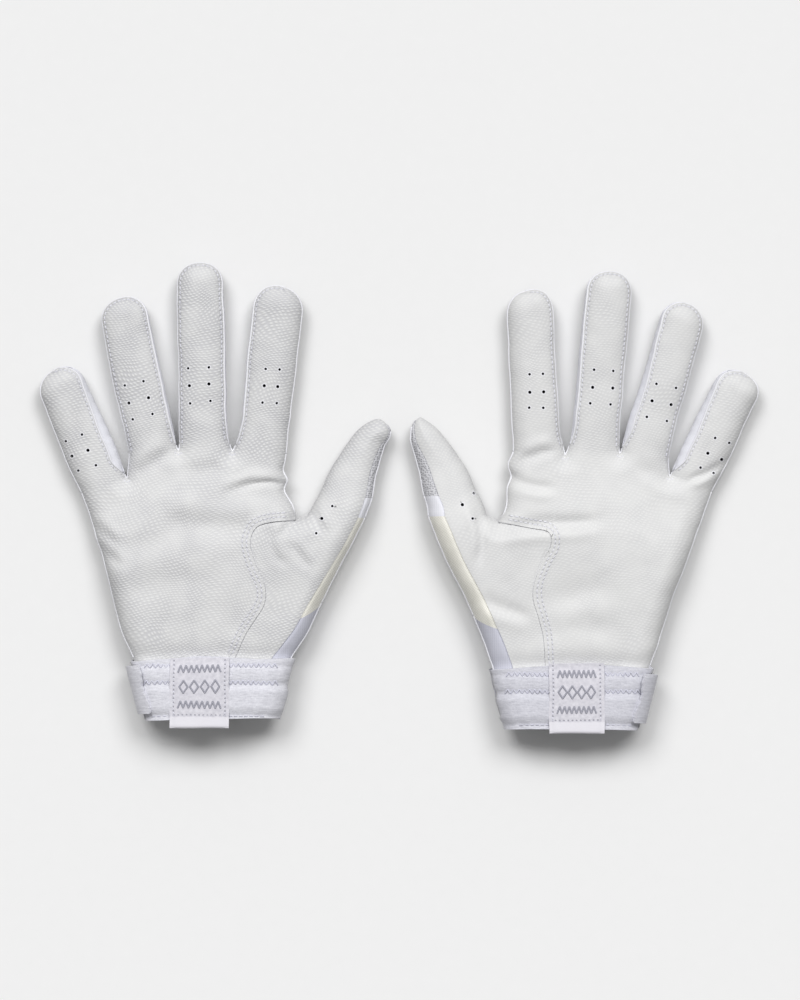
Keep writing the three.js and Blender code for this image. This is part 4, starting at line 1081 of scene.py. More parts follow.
for hand in hands:
    hand.palm_seam = even(tucked(spline(palm_seams[hand.side], 90)), row_step)
    hand.index_root = even(hand.index_edge[::-1], row_step)
    foot = hand.palm_seam[0]
    # a plain grid out to a line beyond the wavy seam, then cut along the seam
    beyond = even(np.array([foot + (cut_margin, 0), hand.web]), row_step)
    right = np.vstack([beyond, hand.index_root[1:]])
    side, low = hand.web[0] + cut_margin, 2 * foot[1]
    ring = np.vstack([hand.palm_seam, (side, hand.web[1] - cut_close), (side, low), (foot[0], low), foot])
    top = finger_roots(hand)
    left = matched(tucked(hand.outer_edge), right)
    grid = cells(fill(base_line(left, right, top), top, left, right))
    grids = [rolled(grid, True, False), turned_edge(grid[len(beyond) - 1 :])]
    stitches = beside(hand.palm_seam, sum(seam_rows) / 2)[7:-3]
    spacing = (seam_rows[1] - seam_rows[0]) / 2
    def edge_height(xy, side):
        inside_edge = (near(xy, hand.palm_seam)[0] - folded_width) / folded_slope
        return np.where(side > 0, folded_lift * (1 - smooth(inside_edge)), 0)
    palm = panel(hand, grids, leather, edge_height, rings=[(ring, cut_close)], seam=(stitches, spacing))
    lines = [piping(hand, line, -edge_inset) for line in (hand.outer_edge, hand.index_edge)]
    # the knit between two fingers passes round the foot of the slit
    turn = np.radians(np.linspace(*tack_turn_deg, 9))
    tacks = []
    for slit, first, second in zip(hand.slits, hand.fingers[:-1], hand.fingers[1:]):
        web = even(np.array([first.place(0.02, 1), first.place(0, 1), slit, second.place(0, -1),
                             second.place(0.02, -1)]), 0.5)
        lines.append(piping(hand, web))
        tack = slit + tack_radius * np.column_stack([np.cos(turn), np.sin(turn)])
        tacks.append(stitch_row(hand, tack, 1, 0, -0.05, 1.5, 1.1))
    sew("palm_leather", hand, [palm, *lines], leather_looks[hand.side], "hand", ["palm_panel"])
    rows = [stitch_row(hand, stitches, 1, 0, folded_lift - stitches_sunk, stitch_pitch, stitch_length, inset)
            for inset in (-spacing, spacing)]
    sew("palm_seam_stitching", hand, rows + tacks, [sewing_thread], "hand", ())

# Thumb
# Leather over the ball of the thumb runs under the palm's folded edge and on up the thumb. Round the outer
# side follow a knit gusset, a cream satin mesh, a white band and a stippled tip patch, sewn end to end.
side_seams = {"right": (10.3, 7.5, 5.3, 3.8, 3.6, 3.3, 0.3), "left": (10, 9.6, 9, 8.6, 8, 5, 0.3)}
side_splits = {"right": (0.34, 0.53), "left": (0.3, 0.45)}      # where the mesh starts, at its two seams
patch_start = 0.24
under_width, under_depth = 3.0, 1.35     # the ball's leather runs on under the palm's folded edge
under_fade, under_slope = 8, 1.4
side_drop, side_gap = 0.8, 0.05          # the side panels start this far under the leather's cut edge
thumb_breadth, thumb_middle_columns = 20, 14
seam_crowd = 0.4         # points crowd this much less at the seam than at the outline
tip_without_piping = 8   # rows


def thumb_columns():
    steps = edge_steps / thumb_breadth
    inner = np.linspace(steps[-1], 1 - steps[-1] * seam_crowd, thumb_middle_columns)[1:-1]
    return np.concatenate([steps, inner, (1 - steps * seam_crowd)[::-1]])


def thumb_grid(hand, seam, side):
    free = hand.thumb.place(hand.thumb.rows, -1)[:, None]
    stop = seam[hand.fold_row :][:, None]
    return cells(mix(free, stop, thumb_columns()[None, :, None]), side)


# A satin-faced polyester mesh gives a creamy sheen over a fine slanting net, with meshes 0.9 mm apart
meshes_per_mm, mesh_slant, mesh_depth = 1.1, 0.9, 0.06


def satin_mesh():
    new, tree, shader = finish("cream_satin_mesh", 0.45, sheen=0.4)
    lay = add(tree, "Attribute", attribute_name="lay").outputs["Vector"]
    scale = (meshes_per_mm, meshes_per_mm, 1)
    turned = add(tree, "Mapping", {"Vector": lay, "Rotation": (0, 0, mesh_slant), "Scale": scale})
    weave = add(tree, "TexVoronoi", {"Vector": turned.outputs[0], "Scale": 1.0, "Randomness": 0.0},
                voronoi_dimensions="2D")
    soft = add(tree, "TexNoise", {"Vector": lay, "Scale": 1 / 9, "Detail": 2.0})
    mesh = add(tree, "MapRange", {0: weave.outputs["Distance"], 1: 0.15, 2: 0.5, 3: 0.0, 4: 1.0})
    height = add(tree, "Math", {0: mesh.outputs[0], 1: mesh_depth}, operation="MULTIPLY")
    tone = add(tree, "Math", {0: mesh.outputs[0], 1: 0.45, 2: soft.outputs[0]}, operation="MULTIPLY_ADD")
    shade(tree, shader, height.outputs[0], "#D2D0C5", "#F2F0E7", tone.outputs[0])
    return new


# The tip patch is split leather, rolled with a coarse stipple: it gives a greyer face, pitted at random
stipple_size, stipple_depth = 1.1, 0.22


def stippled_patch():
    new, tree, shader = finish("stippled_split_leather", 0.7)
    lay = add(tree, "Attribute", attribute_name="lay").outputs["Vector"]
    dots = add(tree, "TexVoronoi", {"Vector": lay, "Scale": 1 / stipple_size, "Randomness": 0.7},
               voronoi_dimensions="2D")
    pit = add(tree, "MapRange", {0: dots.outputs["Distance"], 1: 0.12, 2: 0.5, 3: 0.0, 4: 1.0})
    fine = add(tree, "TexNoise", {"Vector": lay, "Scale": 2.5, "Detail": 3.0})
    height = add(tree, "Math", {0: pit.outputs[0], 1: stipple_depth}, operation="MULTIPLY")
    tone = add(tree, "Math", {0: fine.outputs[0], 1: 0.5, 2: pit.outputs[0]}, operation="MULTIPLY_ADD")
    shade(tree, shader, height.outputs[0], "#A3A3A9", "#D4D4D8", tone.outputs[0])
    return new


cream_satin = satin_mesh()
patch_leather = stippled_patch()


def wrap_panel(hand, first, last, thick, height):
    """A panel round the thumb side, from the front seam over the outline to the back seam. first and last
    are its rows at the two seams."""
    along = lambda line, row: np.column_stack([np.interp(row, np.arange(len(line)), axis) for axis in line.T])
    across = np.concatenate([np.linspace(0, 0.5, 11), np.linspace(0.5, 1, 11)[1:]])
    count = max(round(max(last[0] - first[0], last[1] - first[1])), 8)
    rows = []
    for step in np.linspace(0, 1, count + 1):
        row = mix(mix(first[0], first[1], across), mix(last[0], last[1], across), step)
        rise = along(hand.rise, row)
        front = across < 0.5
        seam = np.where(front[:, None], along(hand.front_seam, row), along(hand.rear_seam, row))
        reach = np.abs(across - 0.5)[:, None] * 2
        # close to the outline the points crowd, as the skin is steep there
        xy = mix(rise, seam, reach**1.6)
        rows.append(np.column_stack([xy, np.where(front, 1, -1), np.zeros(len(xy))]))
    grid = np.array(rows)[:, ::-1]
    return panel(hand, [grid], thick, height)


def lowered(hand):
    """Side panels start under the leather, in front and behind"""
    def height(xy, side):
        front = near(xy, hand.front_seam)[0]
        rear = near(xy, hand.rear_seam)[0]
        edge = np.where(side > 0, front, rear)
        return -side_drop * (1 - smooth(edge / 0.9)) - side_gap
    return height


for hand in hands:
    thumb = hand.thumb
    rise = even(tucked(hand.thumb_edge), row_step)
    hand.fold_row = len(rise) - 1
    hand.rise = np.vstack([rise, thumb.place(thumb.rows[1:], 1)])
    shares = lengths(hand.rise) / lengths(hand.rise)[-1]
    depth = np.interp(shares, np.linspace(0, 1, len(side_seams[hand.side])), side_seams[hand.side])[:, None]
    inward = np.where(np.arange(len(hand.rise))[:, None] < hand.fold_row, (-1.0, 0.0), -thumb.fold)
    hand.front_seam = hand.rise + inward * depth
    hand.rear_seam = hand.rise + inward * np.minimum(depth, wrap_width)

    # the ball of the thumb
    fade = smooth((lengths(hand.palm_seam)[-1] - lengths(hand.palm_seam)) / under_fade)
    under = beside(hand.palm_seam, under_width * fade)
    bend = round(len(under) * 8 / 11)
    left, over = under[: bend + 1], under[bend:]
    fold = thumb_grid(hand, hand.front_seam, 1)[0, :, :2]
    top = np.vstack([over, even(np.vstack([hand.web, fold[0]]), row_step)[1:], fold[1:]])
    right = matched(hand.front_seam[: hand.fold_row + 1], left)
    def base_height(xy, side):
        distance, along, way = near(xy, hand.palm_seam)
        fade = smooth((lengths(hand.palm_seam)[-1] - along) / (under_fade / 2))
        return -under_depth * fade * (1 - smooth((-distance * way + 0.8) / under_slope))
    holes = hand.from_photo(perforations[hand.side]["thumb"])
    beyond = (holes - thumb.root) @ (-thumb.fold[1], thumb.fold[0]) > 0
    holes = [(spot, large_hole if i == 1 else small_hole) for i, spot in enumerate(holes)]
    base = panel(hand, [cells(fill(base_line(left, right, top), top, left, right))], leather, base_height,
                 holes=[hole for hole, past in zip(holes, beyond) if not past])
    sew("thumb_base_leather", hand, [base], leather_looks[hand.side], "hand", ["thumb_base_panel"])

    # the thumb beyond its fold
    turn = math.atan2(*thumb.way)
    front = panel(hand, [rolled(thumb_grid(hand, hand.front_seam, 1), True, False)], leather,
                  holes=[hole for hole, past in zip(holes, beyond) if past])
    sew("thumb_leather", hand, [front], leather_looks[hand.side], "thumb", ["thumb_front"])
    rear = thumb_grid(hand, hand.rear_seam, -1)
    back = panel(hand, [rear], knit, tucked_under([thumb.place(thumb.rows, -1)]), turn=turn)
    sew("thumb_knit_back", hand, [back], knit_looks, "thumb", ["thumb_back"])

    # round the outer side
    split = [share * hand.fold_row for share in side_splits[hand.side]]
    patch_row = hand.fold_row + np.interp(patch_start, thumb.rows, np.arange(len(thumb.rows)))
    last_row = len(hand.rise) - 1
    spec = [
        ("thumb_gusset_knit", [0, 0], split, knit_grey, "hand", "thumb_gusset", "knit"),
        ("thumb_satin_mesh", split, [hand.fold_row] * 2, cream_satin, "hand", "thumb_mesh", "mesh"),
        ("thumb_band", [hand.fold_row] * 2, [patch_row] * 2, knit_white, "thumb", "thumb_side_band", "knit"),
        ("thumb_tip_leather", [patch_row] * 2, [last_row] * 2, patch_leather, "thumb", "thumb_tip_patch",
         "patch_leather"),
    ]
    for name, first, last, cover, body, node, slot in spec:
        part = wrap_panel(hand, first, last, knit, lowered(hand))
        line = hand.rise[round(sum(first) / 2) : round(sum(last) / 2) + 1]
        line = line[:-tip_without_piping] if last[0] == last_row else line
        parts, looks = [part, piping(hand, line, edge_inset)], [cover, shaded_knit_lining, cut_edge]
        sew(name, hand, parts, looks, body, [node])

# Back of the hand
# The back is one panel of the same knit, slit at the wrist so that the hand can enter. A narrow knit binding
# is sewn round the slit's edge.
slot_width, slot_length, slot_tip, slot_place = 8, 24, 3, 8
slot_left, slot_right = slot_place - slot_width / 2, slot_place + slot_width / 2
binding_radius, binding_depth = 0.55, 0.3


def slot_outline():
    turn = np.linspace(0, np.pi, 13)
    tip = (slot_place, slot_length) + slot_tip / 2 * np.column_stack([np.cos(turn), np.sin(turn)])
    foot = [(slot_left, -2 * cuff_tuck), (slot_right, -2 * cuff_tuck)]
    return even(np.vstack([foot[1], tip, foot[0], foot[1]]), 0.4)


for hand in hands:
    middle = even(np.array([(0.0, -cuff_tuck), hand.web]), row_step)
    right = np.vstack([middle, hand.index_root[1:]])
    top = finger_roots(hand)
    left = matched(tucked(hand.outer_edge), right)
    palm_part = cells(fill(base_line(left, right, top), top, left, right), -1)
    fold = thumb_grid(hand, hand.rear_seam, -1)[0, :, :2]
    top = np.vstack([even(np.vstack([hand.web, fold[0]]), row_step)[:-1], fold])
    right = matched(hand.rear_seam[: hand.fold_row + 1], middle)
    thumb_part = cells(fill(base_line(middle, right, top), top, middle, right), -1)
    ring = slot_outline()
    under = tucked_under([hand.outer_edge, hand.index_edge])
    back = panel(hand, [palm_part, thumb_part], knit, under, rings=[(ring, cut_close)])
    points, _ = hand.on_skin(ring[ring[:, 1] > -cuff_tuck], -1, 0, -binding_depth)
    binding = tube(points, binding_radius)
    sew("knit_back", hand, [back, binding], knit_looks, "hand", ["back_panel"])

# Cuff
# A woven elastic band round the wrist, brushed outside, open at the back over the slit. Two rows of zigzag
# stitches hold its top to the glove and one row hems its foot; between them the band puffs out a little.
layer_gap, cuff_thickness = 0.4, 2.0
cuff_tops = {
    "right": [(-41.5, -3.8), (-38.9, -1.6), (-5.8, 1.0), (23, -0.7), (39.4, 0)],
    "left": [(-38, -0.8), (-13.4, 1), (10.6, 0.8), (28.8, -1), (38.5, -1.4)],
}
cuff_feet = {"right": [(-33.6, -29.8), (32.2, -28.3)], "left": [(-34.1, -30), (30.7, -29.5)]}
zigzag_rows, hem_row = (-3.8, -12.0), -27.6
zigzag_pitch, zigzag_reach, zigzag_raise = 2.4, 2.4, 0.3
hem_pitch, hem_stitch, hem_radius = 2.4, 1.8, 0.8
puff_height = 0.9
puff_foot, puff_foot_slope, puff_top, puff_top_slope = -27, 4, -13, 3
row_tuck, row_tuck_width = 0.5, 1.3      # each row of stitches pulls the band in
gathers = [(0.25, 0.25, 4.5, 21), (0.2, 0.5, 2.2, 22)]           # height, stretch, size and seed
back_puff, band_gap = 0.4, 0.1
nap_per_mm, cords_per_mm, elastic_depth = 1.4, (0.3, 1.3, 1), 0.16


# Polyester elastic, woven and brushed: it gives a soft lilac-white nap over faint cords that run round the
# wrist. The left glove's is greyer.
def elastic_weave(name, low, high):
    new, tree, shader = finish(name, 0.85, sheen=0.5)
    lay = add(tree, "Attribute", attribute_name="lay").outputs["Vector"]
    nap = add(tree, "TexNoise", {"Vector": lay, "Scale": nap_per_mm, "Detail": 4.0, "Roughness": 0.6})
    long = add(tree, "Mapping", {"Vector": lay, "Scale": cords_per_mm})
    cords = add(tree, "TexNoise", {"Vector": long.outputs[0], "Scale": 1.0, "Detail": 2.0})
    both = add(tree, "Math", {0: nap.outputs[0], 1: cords.outputs[0]}, operation="ADD")
    height = add(tree, "Math", {0: both.outputs[0], 1: elastic_depth}, operation="MULTIPLY")
    tone = add(tree, "MapRange", {0: both.outputs[0], 1: 0.7, 2: 1.3, 3: 0.0, 4: 1.0})
    shade(tree, shader, height.outputs[0], low, high, tone.outputs[0])
    return new


elastics = {
    "right": elastic_weave("brushed_woven_elastic", "#CDCDD5", "#E8E8EF"),
    "left": elastic_weave("worn_woven_elastic", "#C4C4CD", "#DDDDE5"),
}
# Textured nylon thread gives a soft, slightly greyer line
binding_thread = simple("textured_nylon_thread", "#D2D2E0", 0.6, 0.3)


cuff_crowd = 0.28        # points crowd over this share of its half width at each edge


def around(y):
    """Plan points round the cuff at each height: from the slot under to the little-finger side, over the palm
    side, and back under to the slot"""
    half = (width_at(y) / 2)[:, None]
    near_edge = edge_steps / edge_radius * cuff_crowd
    shares = np.concatenate([np.linspace(0, 1 - near_edge[-1], 30)[:-1], (1 - near_edge)[::-1]])
    over = shares[:-1]
    x = np.hstack([mix(slot_left, -half, over), -half, -half * over[::-1], half * over[1:], half,
                   mix(slot_right, half, over[::-1])])
    side = np.repeat([-1, -1, 1, 1, -1, -1], [len(over), 1, len(over), len(over) - 1, 1, len(over)])
    grid = np.dstack([x, np.repeat(y[:, None], x.shape[1], 1)])
    return cells(grid, np.broadcast_to(side, x.shape))


def zigzag(hand, line, side, height, pitch, reach):
    """A zigzag stitch along a plan chain"""
    run = lengths(line)
    spots = np.arange(pitch, run[-1] - pitch, pitch / 2)
    xy = along_line(line, spots / run[-1])
    sway = np.where(np.arange(len(spots)) % 2, reach / 2, -reach / 2)
    way = unit(np.gradient(xy, axis=0))
    xy = xy + np.column_stack([-way[:, 1], way[:, 0]]) * sway[:, None]
    points, out = hand.on_skin(xy, side, 0, height)
    up = unit(out[:-1] + out[1:])
    return threads(points[:-1], points[1:], up, radius=0.25, arch=0.12, dip=0.15)


for hand in hands:
    y = np.linspace(-cuff_height, 0, 40)
    grid = around(y)[:, ::-1]
    share = ((y + cuff_height) / cuff_height)[:, None]
    top = np.interp(grid[..., 0], *np.transpose(cuff_tops[hand.side]))
    foot = np.interp(grid[..., 0], *np.transpose(cuff_feet[hand.side])) + cuff_height
    on_palm = grid[..., 2] > 0
    grid[..., 1] += np.where(on_palm, mix(foot, top, share), mix(0, -1, share))
    def puff(xy, side):
        x, y = xy.T
        swell = smooth((y - puff_foot) / puff_foot_slope) * smooth((puff_top - y) / puff_top_slope)
        tuck = sum(row_tuck * np.exp(-((y - row) / row_tuck_width) ** 2) for row in (*zigzag_rows, hem_row))
        gather = sum(height * swells(x, y * run, size, seed) for height, run, size, seed in gathers)
        raised = (puff_height * swell - tuck + gather) * np.where(side > 0, 1, back_puff)
        return layer_gap + cuff_thickness + raised - band_gap
    band = panel(hand, [grid], cuff_thickness, puff)
    hem_edge = grid[0][grid[0][:, 2] > 0][:, :2]
    hem_points, _ = hand.on_skin(hem_edge[4:-4] + (0, 0.5), 1, 0, layer_gap + 0.75)
    hem_roll = tube(hem_points, hem_radius)
    rows = []
    for level in zigzag_rows:
        line = np.array([(x, level + zigzag_raise) for x in np.linspace(-34, 34, 69)])
        rows.append(zigzag(hand, line, 1, layer_gap + cuff_thickness - 0.35, zigzag_pitch, zigzag_reach))
    hem = np.array([(x, hem_row) for x in np.linspace(-28, 27, 60)])
    rows.append(stitch_row(hand, hem, 1, 0, layer_gap + cuff_thickness - 0.3, hem_pitch, hem_stitch))
    elastic = elastics[hand.side]
    looks = [elastic, shaded_knit_lining, elastic]
    sew("cuff_elastic", hand, [band, hem_roll], looks, "hand", ["cuff_band"])
    sew("cuff_stitching", hand, rows, [binding_thread], "hand", ())

# Pull label
# A woven satin label, sewn to the cuff at both sides and across its foot, whose end is folded under into a
# loop for pulling the glove on. It carries a plain border of embroidered chevrons and diamonds.
label_spots = {"right": (-19.9, 8.4, 0.0, -33.6), "left": (-15.6, 10.8, 1.7, -31.9)}
label_thick, loop_depth = 0.8, 2.8
label_level = palm_thickness + cuff_thickness + 2 * layer_gap + label_thick
# the last of these darkens the needle holes: painted shade
label_pitch, label_dent, label_hole_painted_shade = 2.0, 0.2, 1.3
pick_scale, pick_depth, pick_tint = (2.2, 1.1, 1), 0.05, 0.3
seam_margin, foot_seam = 1.9, 6.4        # its seams lie this far inside its sides and above its fold
fold_reach = 4.5                         # the folded end reaches this far up behind
sunk, sunk_width, sunk_slope = 0.35, 2.6, 1.2            # the sewn sides are pressed in
columns, front_rows, fold_rows, back_rows = 34, 40, 10, 5
stitch_part, stitch_sunk = 0.8, 0.25     # a stitch fills the middle of its pitch and lies this deep
chevrons, chevron_height = 8, 3.2
diamonds, diamond_width, diamond_height = 4, 4, 6
motif_margin, satin_step, satin_half = 4, 0.32, 0.55


# Polyester satin weave gives a soft silvery face. Its picks are drawn 0.3 mm apart, so that they show.
def woven_label():
    new, tree, shader = finish("woven_satin_label", 0.5, sheen=0.3)
    lay = add(tree, "Attribute", attribute_name="lay").outputs["Vector"]
    fine = add(tree, "Mapping", {"Vector": lay, "Scale": pick_scale})
    picks = add(tree, "TexWave", {"Vector": fine.outputs[0], "Scale": 1.0, "Distortion": 0.6, "Detail": 1.0},
                bands_direction="Y")
    soft = add(tree, "TexNoise", {"Vector": lay, "Scale": 0.5, "Detail": 3.0})
    height = add(tree, "Math", {0: picks.outputs["Fac"], 1: pick_depth}, operation="MULTIPLY")
    tone = add(tree, "Math", {0: picks.outputs["Fac"], 1: pick_tint, 2: soft.outputs[0]},
               operation="MULTIPLY_ADD")
    # the needle holes along both sides and across the foot are darkened as painted shade; the loop below them
    # is clean
    seam = add(tree, "SeparateXYZ", {0: add(tree, "Attribute", attribute_name="seam").outputs["Vector"]})
    aside = add(tree, "Math", {0: seam.outputs[1]}, operation="ABSOLUTE")
    past = add(tree, "Math", {0: aside.outputs[0], 1: seam.outputs[2]}, operation="SUBTRACT")
    past = add(tree, "Math", {0: past.outputs[0]}, operation="ABSOLUTE")
    sides = needle_marks(tree, seam.outputs[0], past.outputs[0], label_pitch)
    above = add(tree, "Math", {0: seam.outputs[0], 1: -0.4}, operation="GREATER_THAN")
    sides = add(tree, "Math", {0: sides, 1: above.outputs[0]}, operation="MULTIPLY")
    across = needle_marks(tree, seam.outputs[1], seam.outputs[0], label_pitch)
    within = add(tree, "Math", {0: aside.outputs[0], 1: seam.outputs[2]}, operation="LESS_THAN")
    across = add(tree, "Math", {0: across, 1: within.outputs[0]}, operation="MULTIPLY")
    marks = add(tree, "Math", {0: sides.outputs[0], 1: across.outputs[0]}, operation="MAXIMUM")
    loop = add(tree, "MapRange", {0: seam.outputs[0], 1: -1.2, 2: -0.6, 3: 0.6, 4: 0.0})
    tone = add(tree, "Math", {0: tone.outputs[0], 1: loop.outputs[0]}, operation="ADD")
    tone = add(tree, "Math", {0: marks.outputs[0], 1: -label_hole_painted_shade, 2: tone.outputs[0]},
               operation="MULTIPLY_ADD", use_clamp=True)
    dent = add(tree, "Math", {0: marks.outputs[0], 1: -label_dent, 2: height.outputs[0]},
               operation="MULTIPLY_ADD")
    shade(tree, shader, dent.outputs[0], "#B2B1BC", "#EFEDF4", tone.outputs[0])
    return new


label_weave = woven_label()
# Rayon embroidery thread gives the motif a silky grey
embroidery_thread = simple("rayon_embroidery_thread", "#A9A9B4", 0.35, 0.2)


def on_label(line, depth=0):
    return np.column_stack([line, np.full(len(line), label_level - depth)])


def label_stitches(line):
    """A row of stitches along a line on the label"""
    run = even(line, label_pitch)
    start, end = run[:-1], run[1:]
    a = on_label(start * stitch_part + end * (1 - stitch_part), stitch_sunk)
    b = on_label(start * (1 - stitch_part) + end * stitch_part, stitch_sunk)
    up = np.tile((0.0, 0.0, 1.0), (len(a), 1))
    return threads(a, b, up, radius=0.16, arch=0.15, dip=0.2)


def satin_stroke(a, b):
    """One stroke of the motif: short threads side by side across the line from a to b"""
    line = even(np.array([a, b]), satin_step)
    way = unit(np.array(b) - np.array(a))
    square = np.array([-way[1], way[0]]) * satin_half
    up = np.tile((0.0, 0.0, 1.0), (len(line), 1))
    ends = [on_label(line - square), on_label(line + square)]
    return threads(*ends, up, radius=0.2, arch=0.22, dip=0.25, look=1)


for hand in hands:
    left, right, top, low = label_spots[hand.side]
    radius = loop_depth / 2
    turn = np.radians(np.linspace(0, 180, fold_rows + 1))
    y = np.concatenate([np.linspace(top, low + radius, front_rows), low + radius - radius * np.sin(turn[1:]),
                        np.linspace(low + radius, low + fold_reach, back_rows + 1)[1:]])
    z = np.concatenate([np.full(front_rows, label_level), label_level - radius + radius * np.cos(turn[1:]),
                        np.full(back_rows, label_level - loop_depth)])
    x = np.linspace(left, right, columns)
    grid = np.dstack([np.tile(x, (len(y), 1)), np.tile(y[:, None], (1, columns)),
                      np.tile(z[:, None], (1, columns))])
    dip = sunk * (smooth((np.abs(x - (left + right) / 2) - (right - left) / 2 + sunk_width) / sunk_slope))
    grid[:, :, 2] -= dip * (grid[:, :, 2] > label_level - 0.5)
    label = slab(grid, label_thick, (0, 0, 1))
    centre, foot_line = (left + right) / 2, low + foot_seam
    places = np.concatenate([grid.reshape(-1, 3)] * 2)
    front = places[:, 2] > label_level - loop_depth / 2
    label["seam"] = np.column_stack([
        np.where(front, places[:, 1] - foot_line, -9), places[:, 0] - centre,
        np.full(len(places), (right - left) / 2 - seam_margin),
    ])
    side_rows = [np.array([(x, y) for y in np.linspace(top - 1, low + 6.5, 40)])
                 for x in (left + seam_margin, right - seam_margin)]
    foot_row = np.array([(x, foot_line) for x in np.linspace(left + 1, right - 1, 40)])
    rows = [label_stitches(line) for line in (*side_rows, foot_row)]
    # chevrons above and below a row of diamonds, worked in satin stitch
    wide = right - left - 2 * motif_margin
    strokes = []
    for level in (top - 5, low + 11.5):
        foot, crest = level - chevron_height / 2, level + chevron_height / 2
        for k in range(chevrons):
            x0, x1 = (centre - wide / 2 + wide * step / chevrons for step in (k, k + 1))
            tip = ((x0 + x1) / 2, crest)
            strokes += [((x0, foot), tip), (tip, (x1, foot))]
    for k in range(diamonds):
        x0 = centre + wide * (k - (diamonds - 1) / 2) / diamonds
        y0 = (top + low + 6.5) / 2
        x_reach, y_reach = diamond_width / 2, diamond_height / 2
        ring = [(x0 - x_reach, y0), (x0, y0 + y_reach), (x0 + x_reach, y0), (x0, y0 - y_reach),
                (x0 - x_reach, y0)]
        strokes += list(zip(ring[:-1], ring[1:]))
    fine = [satin_stroke(a, b) for a, b in strokes]
    sew("pull_label", hand, [label], [label_weave] * 3, "hand", ["pull_tab"])
    sew("label_stitching", hand, rows + fine, [sewing_thread, embroidery_thread], "hand", ())

# Closure strap
# Elastic webbing, sewn down beyond the slit, that crosses the back of the wrist and turns up round the
# little-finger side. A hook patch on it meets a loop patch on the cuff. Its end is cut in steps.
strap_thickness, patch_thickness, strap_height = 1.5, 0.7, 23
strap_stack = stack_height - strap_thickness
strap_snug = cuff_thickness + 3 * layer_gap
strap_turn = 4.0         # how far its end reaches onto the palm side
strap_rise, strap_rise_over = 0.68, 0.32         # shares of its length, over which it climbs to the cuff
pad_place, pad_width, pad_margin, pad_corner = -8, 20, 3, 2
anchor_width, loops_per_mm, tape_depth = 14, 1.3, 0.35


# Nylon hook-and-loop tape gives a fuzzy grey-white nap of loops 0.8 mm across
def hook_and_loop():
    new, tree, shader = finish("hook_and_loop_tape", 0.95, sheen=0.6)
    lay = add(tree, "Attribute", attribute_name="lay").outputs["Vector"]
    loops = add(tree, "TexVoronoi", {"Vector": lay, "Scale": loops_per_mm, "Randomness": 0.5})
    height = add(tree, "Math", {0: loops.outputs["Distance"], 1: tape_depth}, operation="MULTIPLY")
    shade(tree, shader, height.outputs[0], "#BDBDC4", "#E4E5E9", loops.outputs["Distance"])
    return new


tape = hook_and_loop()


def rounded_pad(x, y, width, height, corner, levels):
    """A pad with rounded corners; levels are pairs of inset and height, from its foot to its top"""
    rings = []
    for inset, z in levels:
        reach = np.array([width / 2 - corner, height / 2 - corner])
        turn = np.radians(np.concatenate([np.linspace(q, q + 90, 6) for q in (0, 90, 180, 270)]))
        signs = np.repeat([(1, 1), (-1, 1), (-1, -1), (1, -1)], 6, axis=0)
        rounding = (corner - inset) * np.column_stack([np.cos(turn), np.sin(turn)])
        ring = reach * signs * (1 - inset / 12) + rounding
        rings.append(np.column_stack([ring + (x, y), np.full(len(ring), z)]))
    return lofted(np.concatenate(rings), 1, len(levels), 24, 0)


def pad_levels(bottom, top):
    edge = min((top - bottom) / 3, 0.5)
    return [(edge, bottom), (0.15 * edge, bottom + edge), (0, (bottom + top) / 2), (0.15 * edge, top - edge),
            (edge, top), (edge + 0.5, top + 0.05)]


for hand in hands:
    foot = -(cuff_height + strap_height) / 2
    v = np.linspace(0, 1, 26)
    y = (foot + v * strap_height)[:, None]
    start = slot_right + seam_gap
    half = width_at(y) / 2
    last = 0.85 + 0.15 * np.sin(np.linspace(0, np.pi / 2, 14))
    reach = np.concatenate([np.linspace(0, 0.85, 40)[:-1], last])
    under = mix(start, -half, reach[None])
    steps = 0.4 * np.sin(v * 9)[:, None] + 0.15 * np.sin(v * 40)[:, None]
    over = -half + (strap_turn + steps) * (1 - np.cos(np.linspace(0, np.pi / 2, 9)))[None, 1:]
    x = np.hstack([under, over])
    side = np.repeat([-1, 1], [under.shape[1], over.shape[1]])
    grid = cells(np.dstack([x, np.broadcast_to(y, x.shape)]), np.broadcast_to(side, x.shape))[:, ::-1]
    def strap_height_at(xy, side):
        reach = (start - xy[:, 0]) / (start + width_at(xy[:, 1]) / 2)
        shift = mix(strap_stack, strap_snug, smooth((reach - strap_rise) / strap_rise_over))
        return np.where(side > 0, strap_snug, shift) + strap_thickness
    strap = panel(hand, [grid], strap_thickness, strap_height_at)
    elastic = elastics[hand.side]
    sew("closure_strap_webbing", hand, [strap], [elastic] * 3, "strap", ["closure_strap"])
    end = np.column_stack([-width_at(y[2:-2, 0]) / 2 + 2.6, y[2:-2, 0]])
    edging = zigzag(hand, end, 1, strap_snug + strap_thickness - 0.25, 2.0, 2.0)
    sew("strap_stitching", hand, [edging], [binding_thread], "strap", ())
    middle, tall = -cuff_height / 2, strap_height - 2 * pad_margin
    hook = strap_thickness + layer_gap
    loop = hook + patch_thickness + layer_gap
    hook_pad, loop_pad = (rounded_pad(pad_place, middle, pad_width, tall, pad_corner,
                                      pad_levels(level, level + patch_thickness)) for level in (hook, loop))
    place = slot_right + 2 * seam_gap + anchor_width / 2
    anchor = rounded_pad(place, middle, anchor_width, strap_height, pad_corner,
                         pad_levels(0, loop + patch_thickness))
    sew("hook_tape", hand, [hook_pad], [tape], "strap", ["hook_patch"])
    sew("loop_tape", hand, [loop_pad], [tape], "hand", ["loop_patch"])
    sew("strap_anchor_webbing", hand, [anchor], [elastic], "hand", ["strap_anchor"])

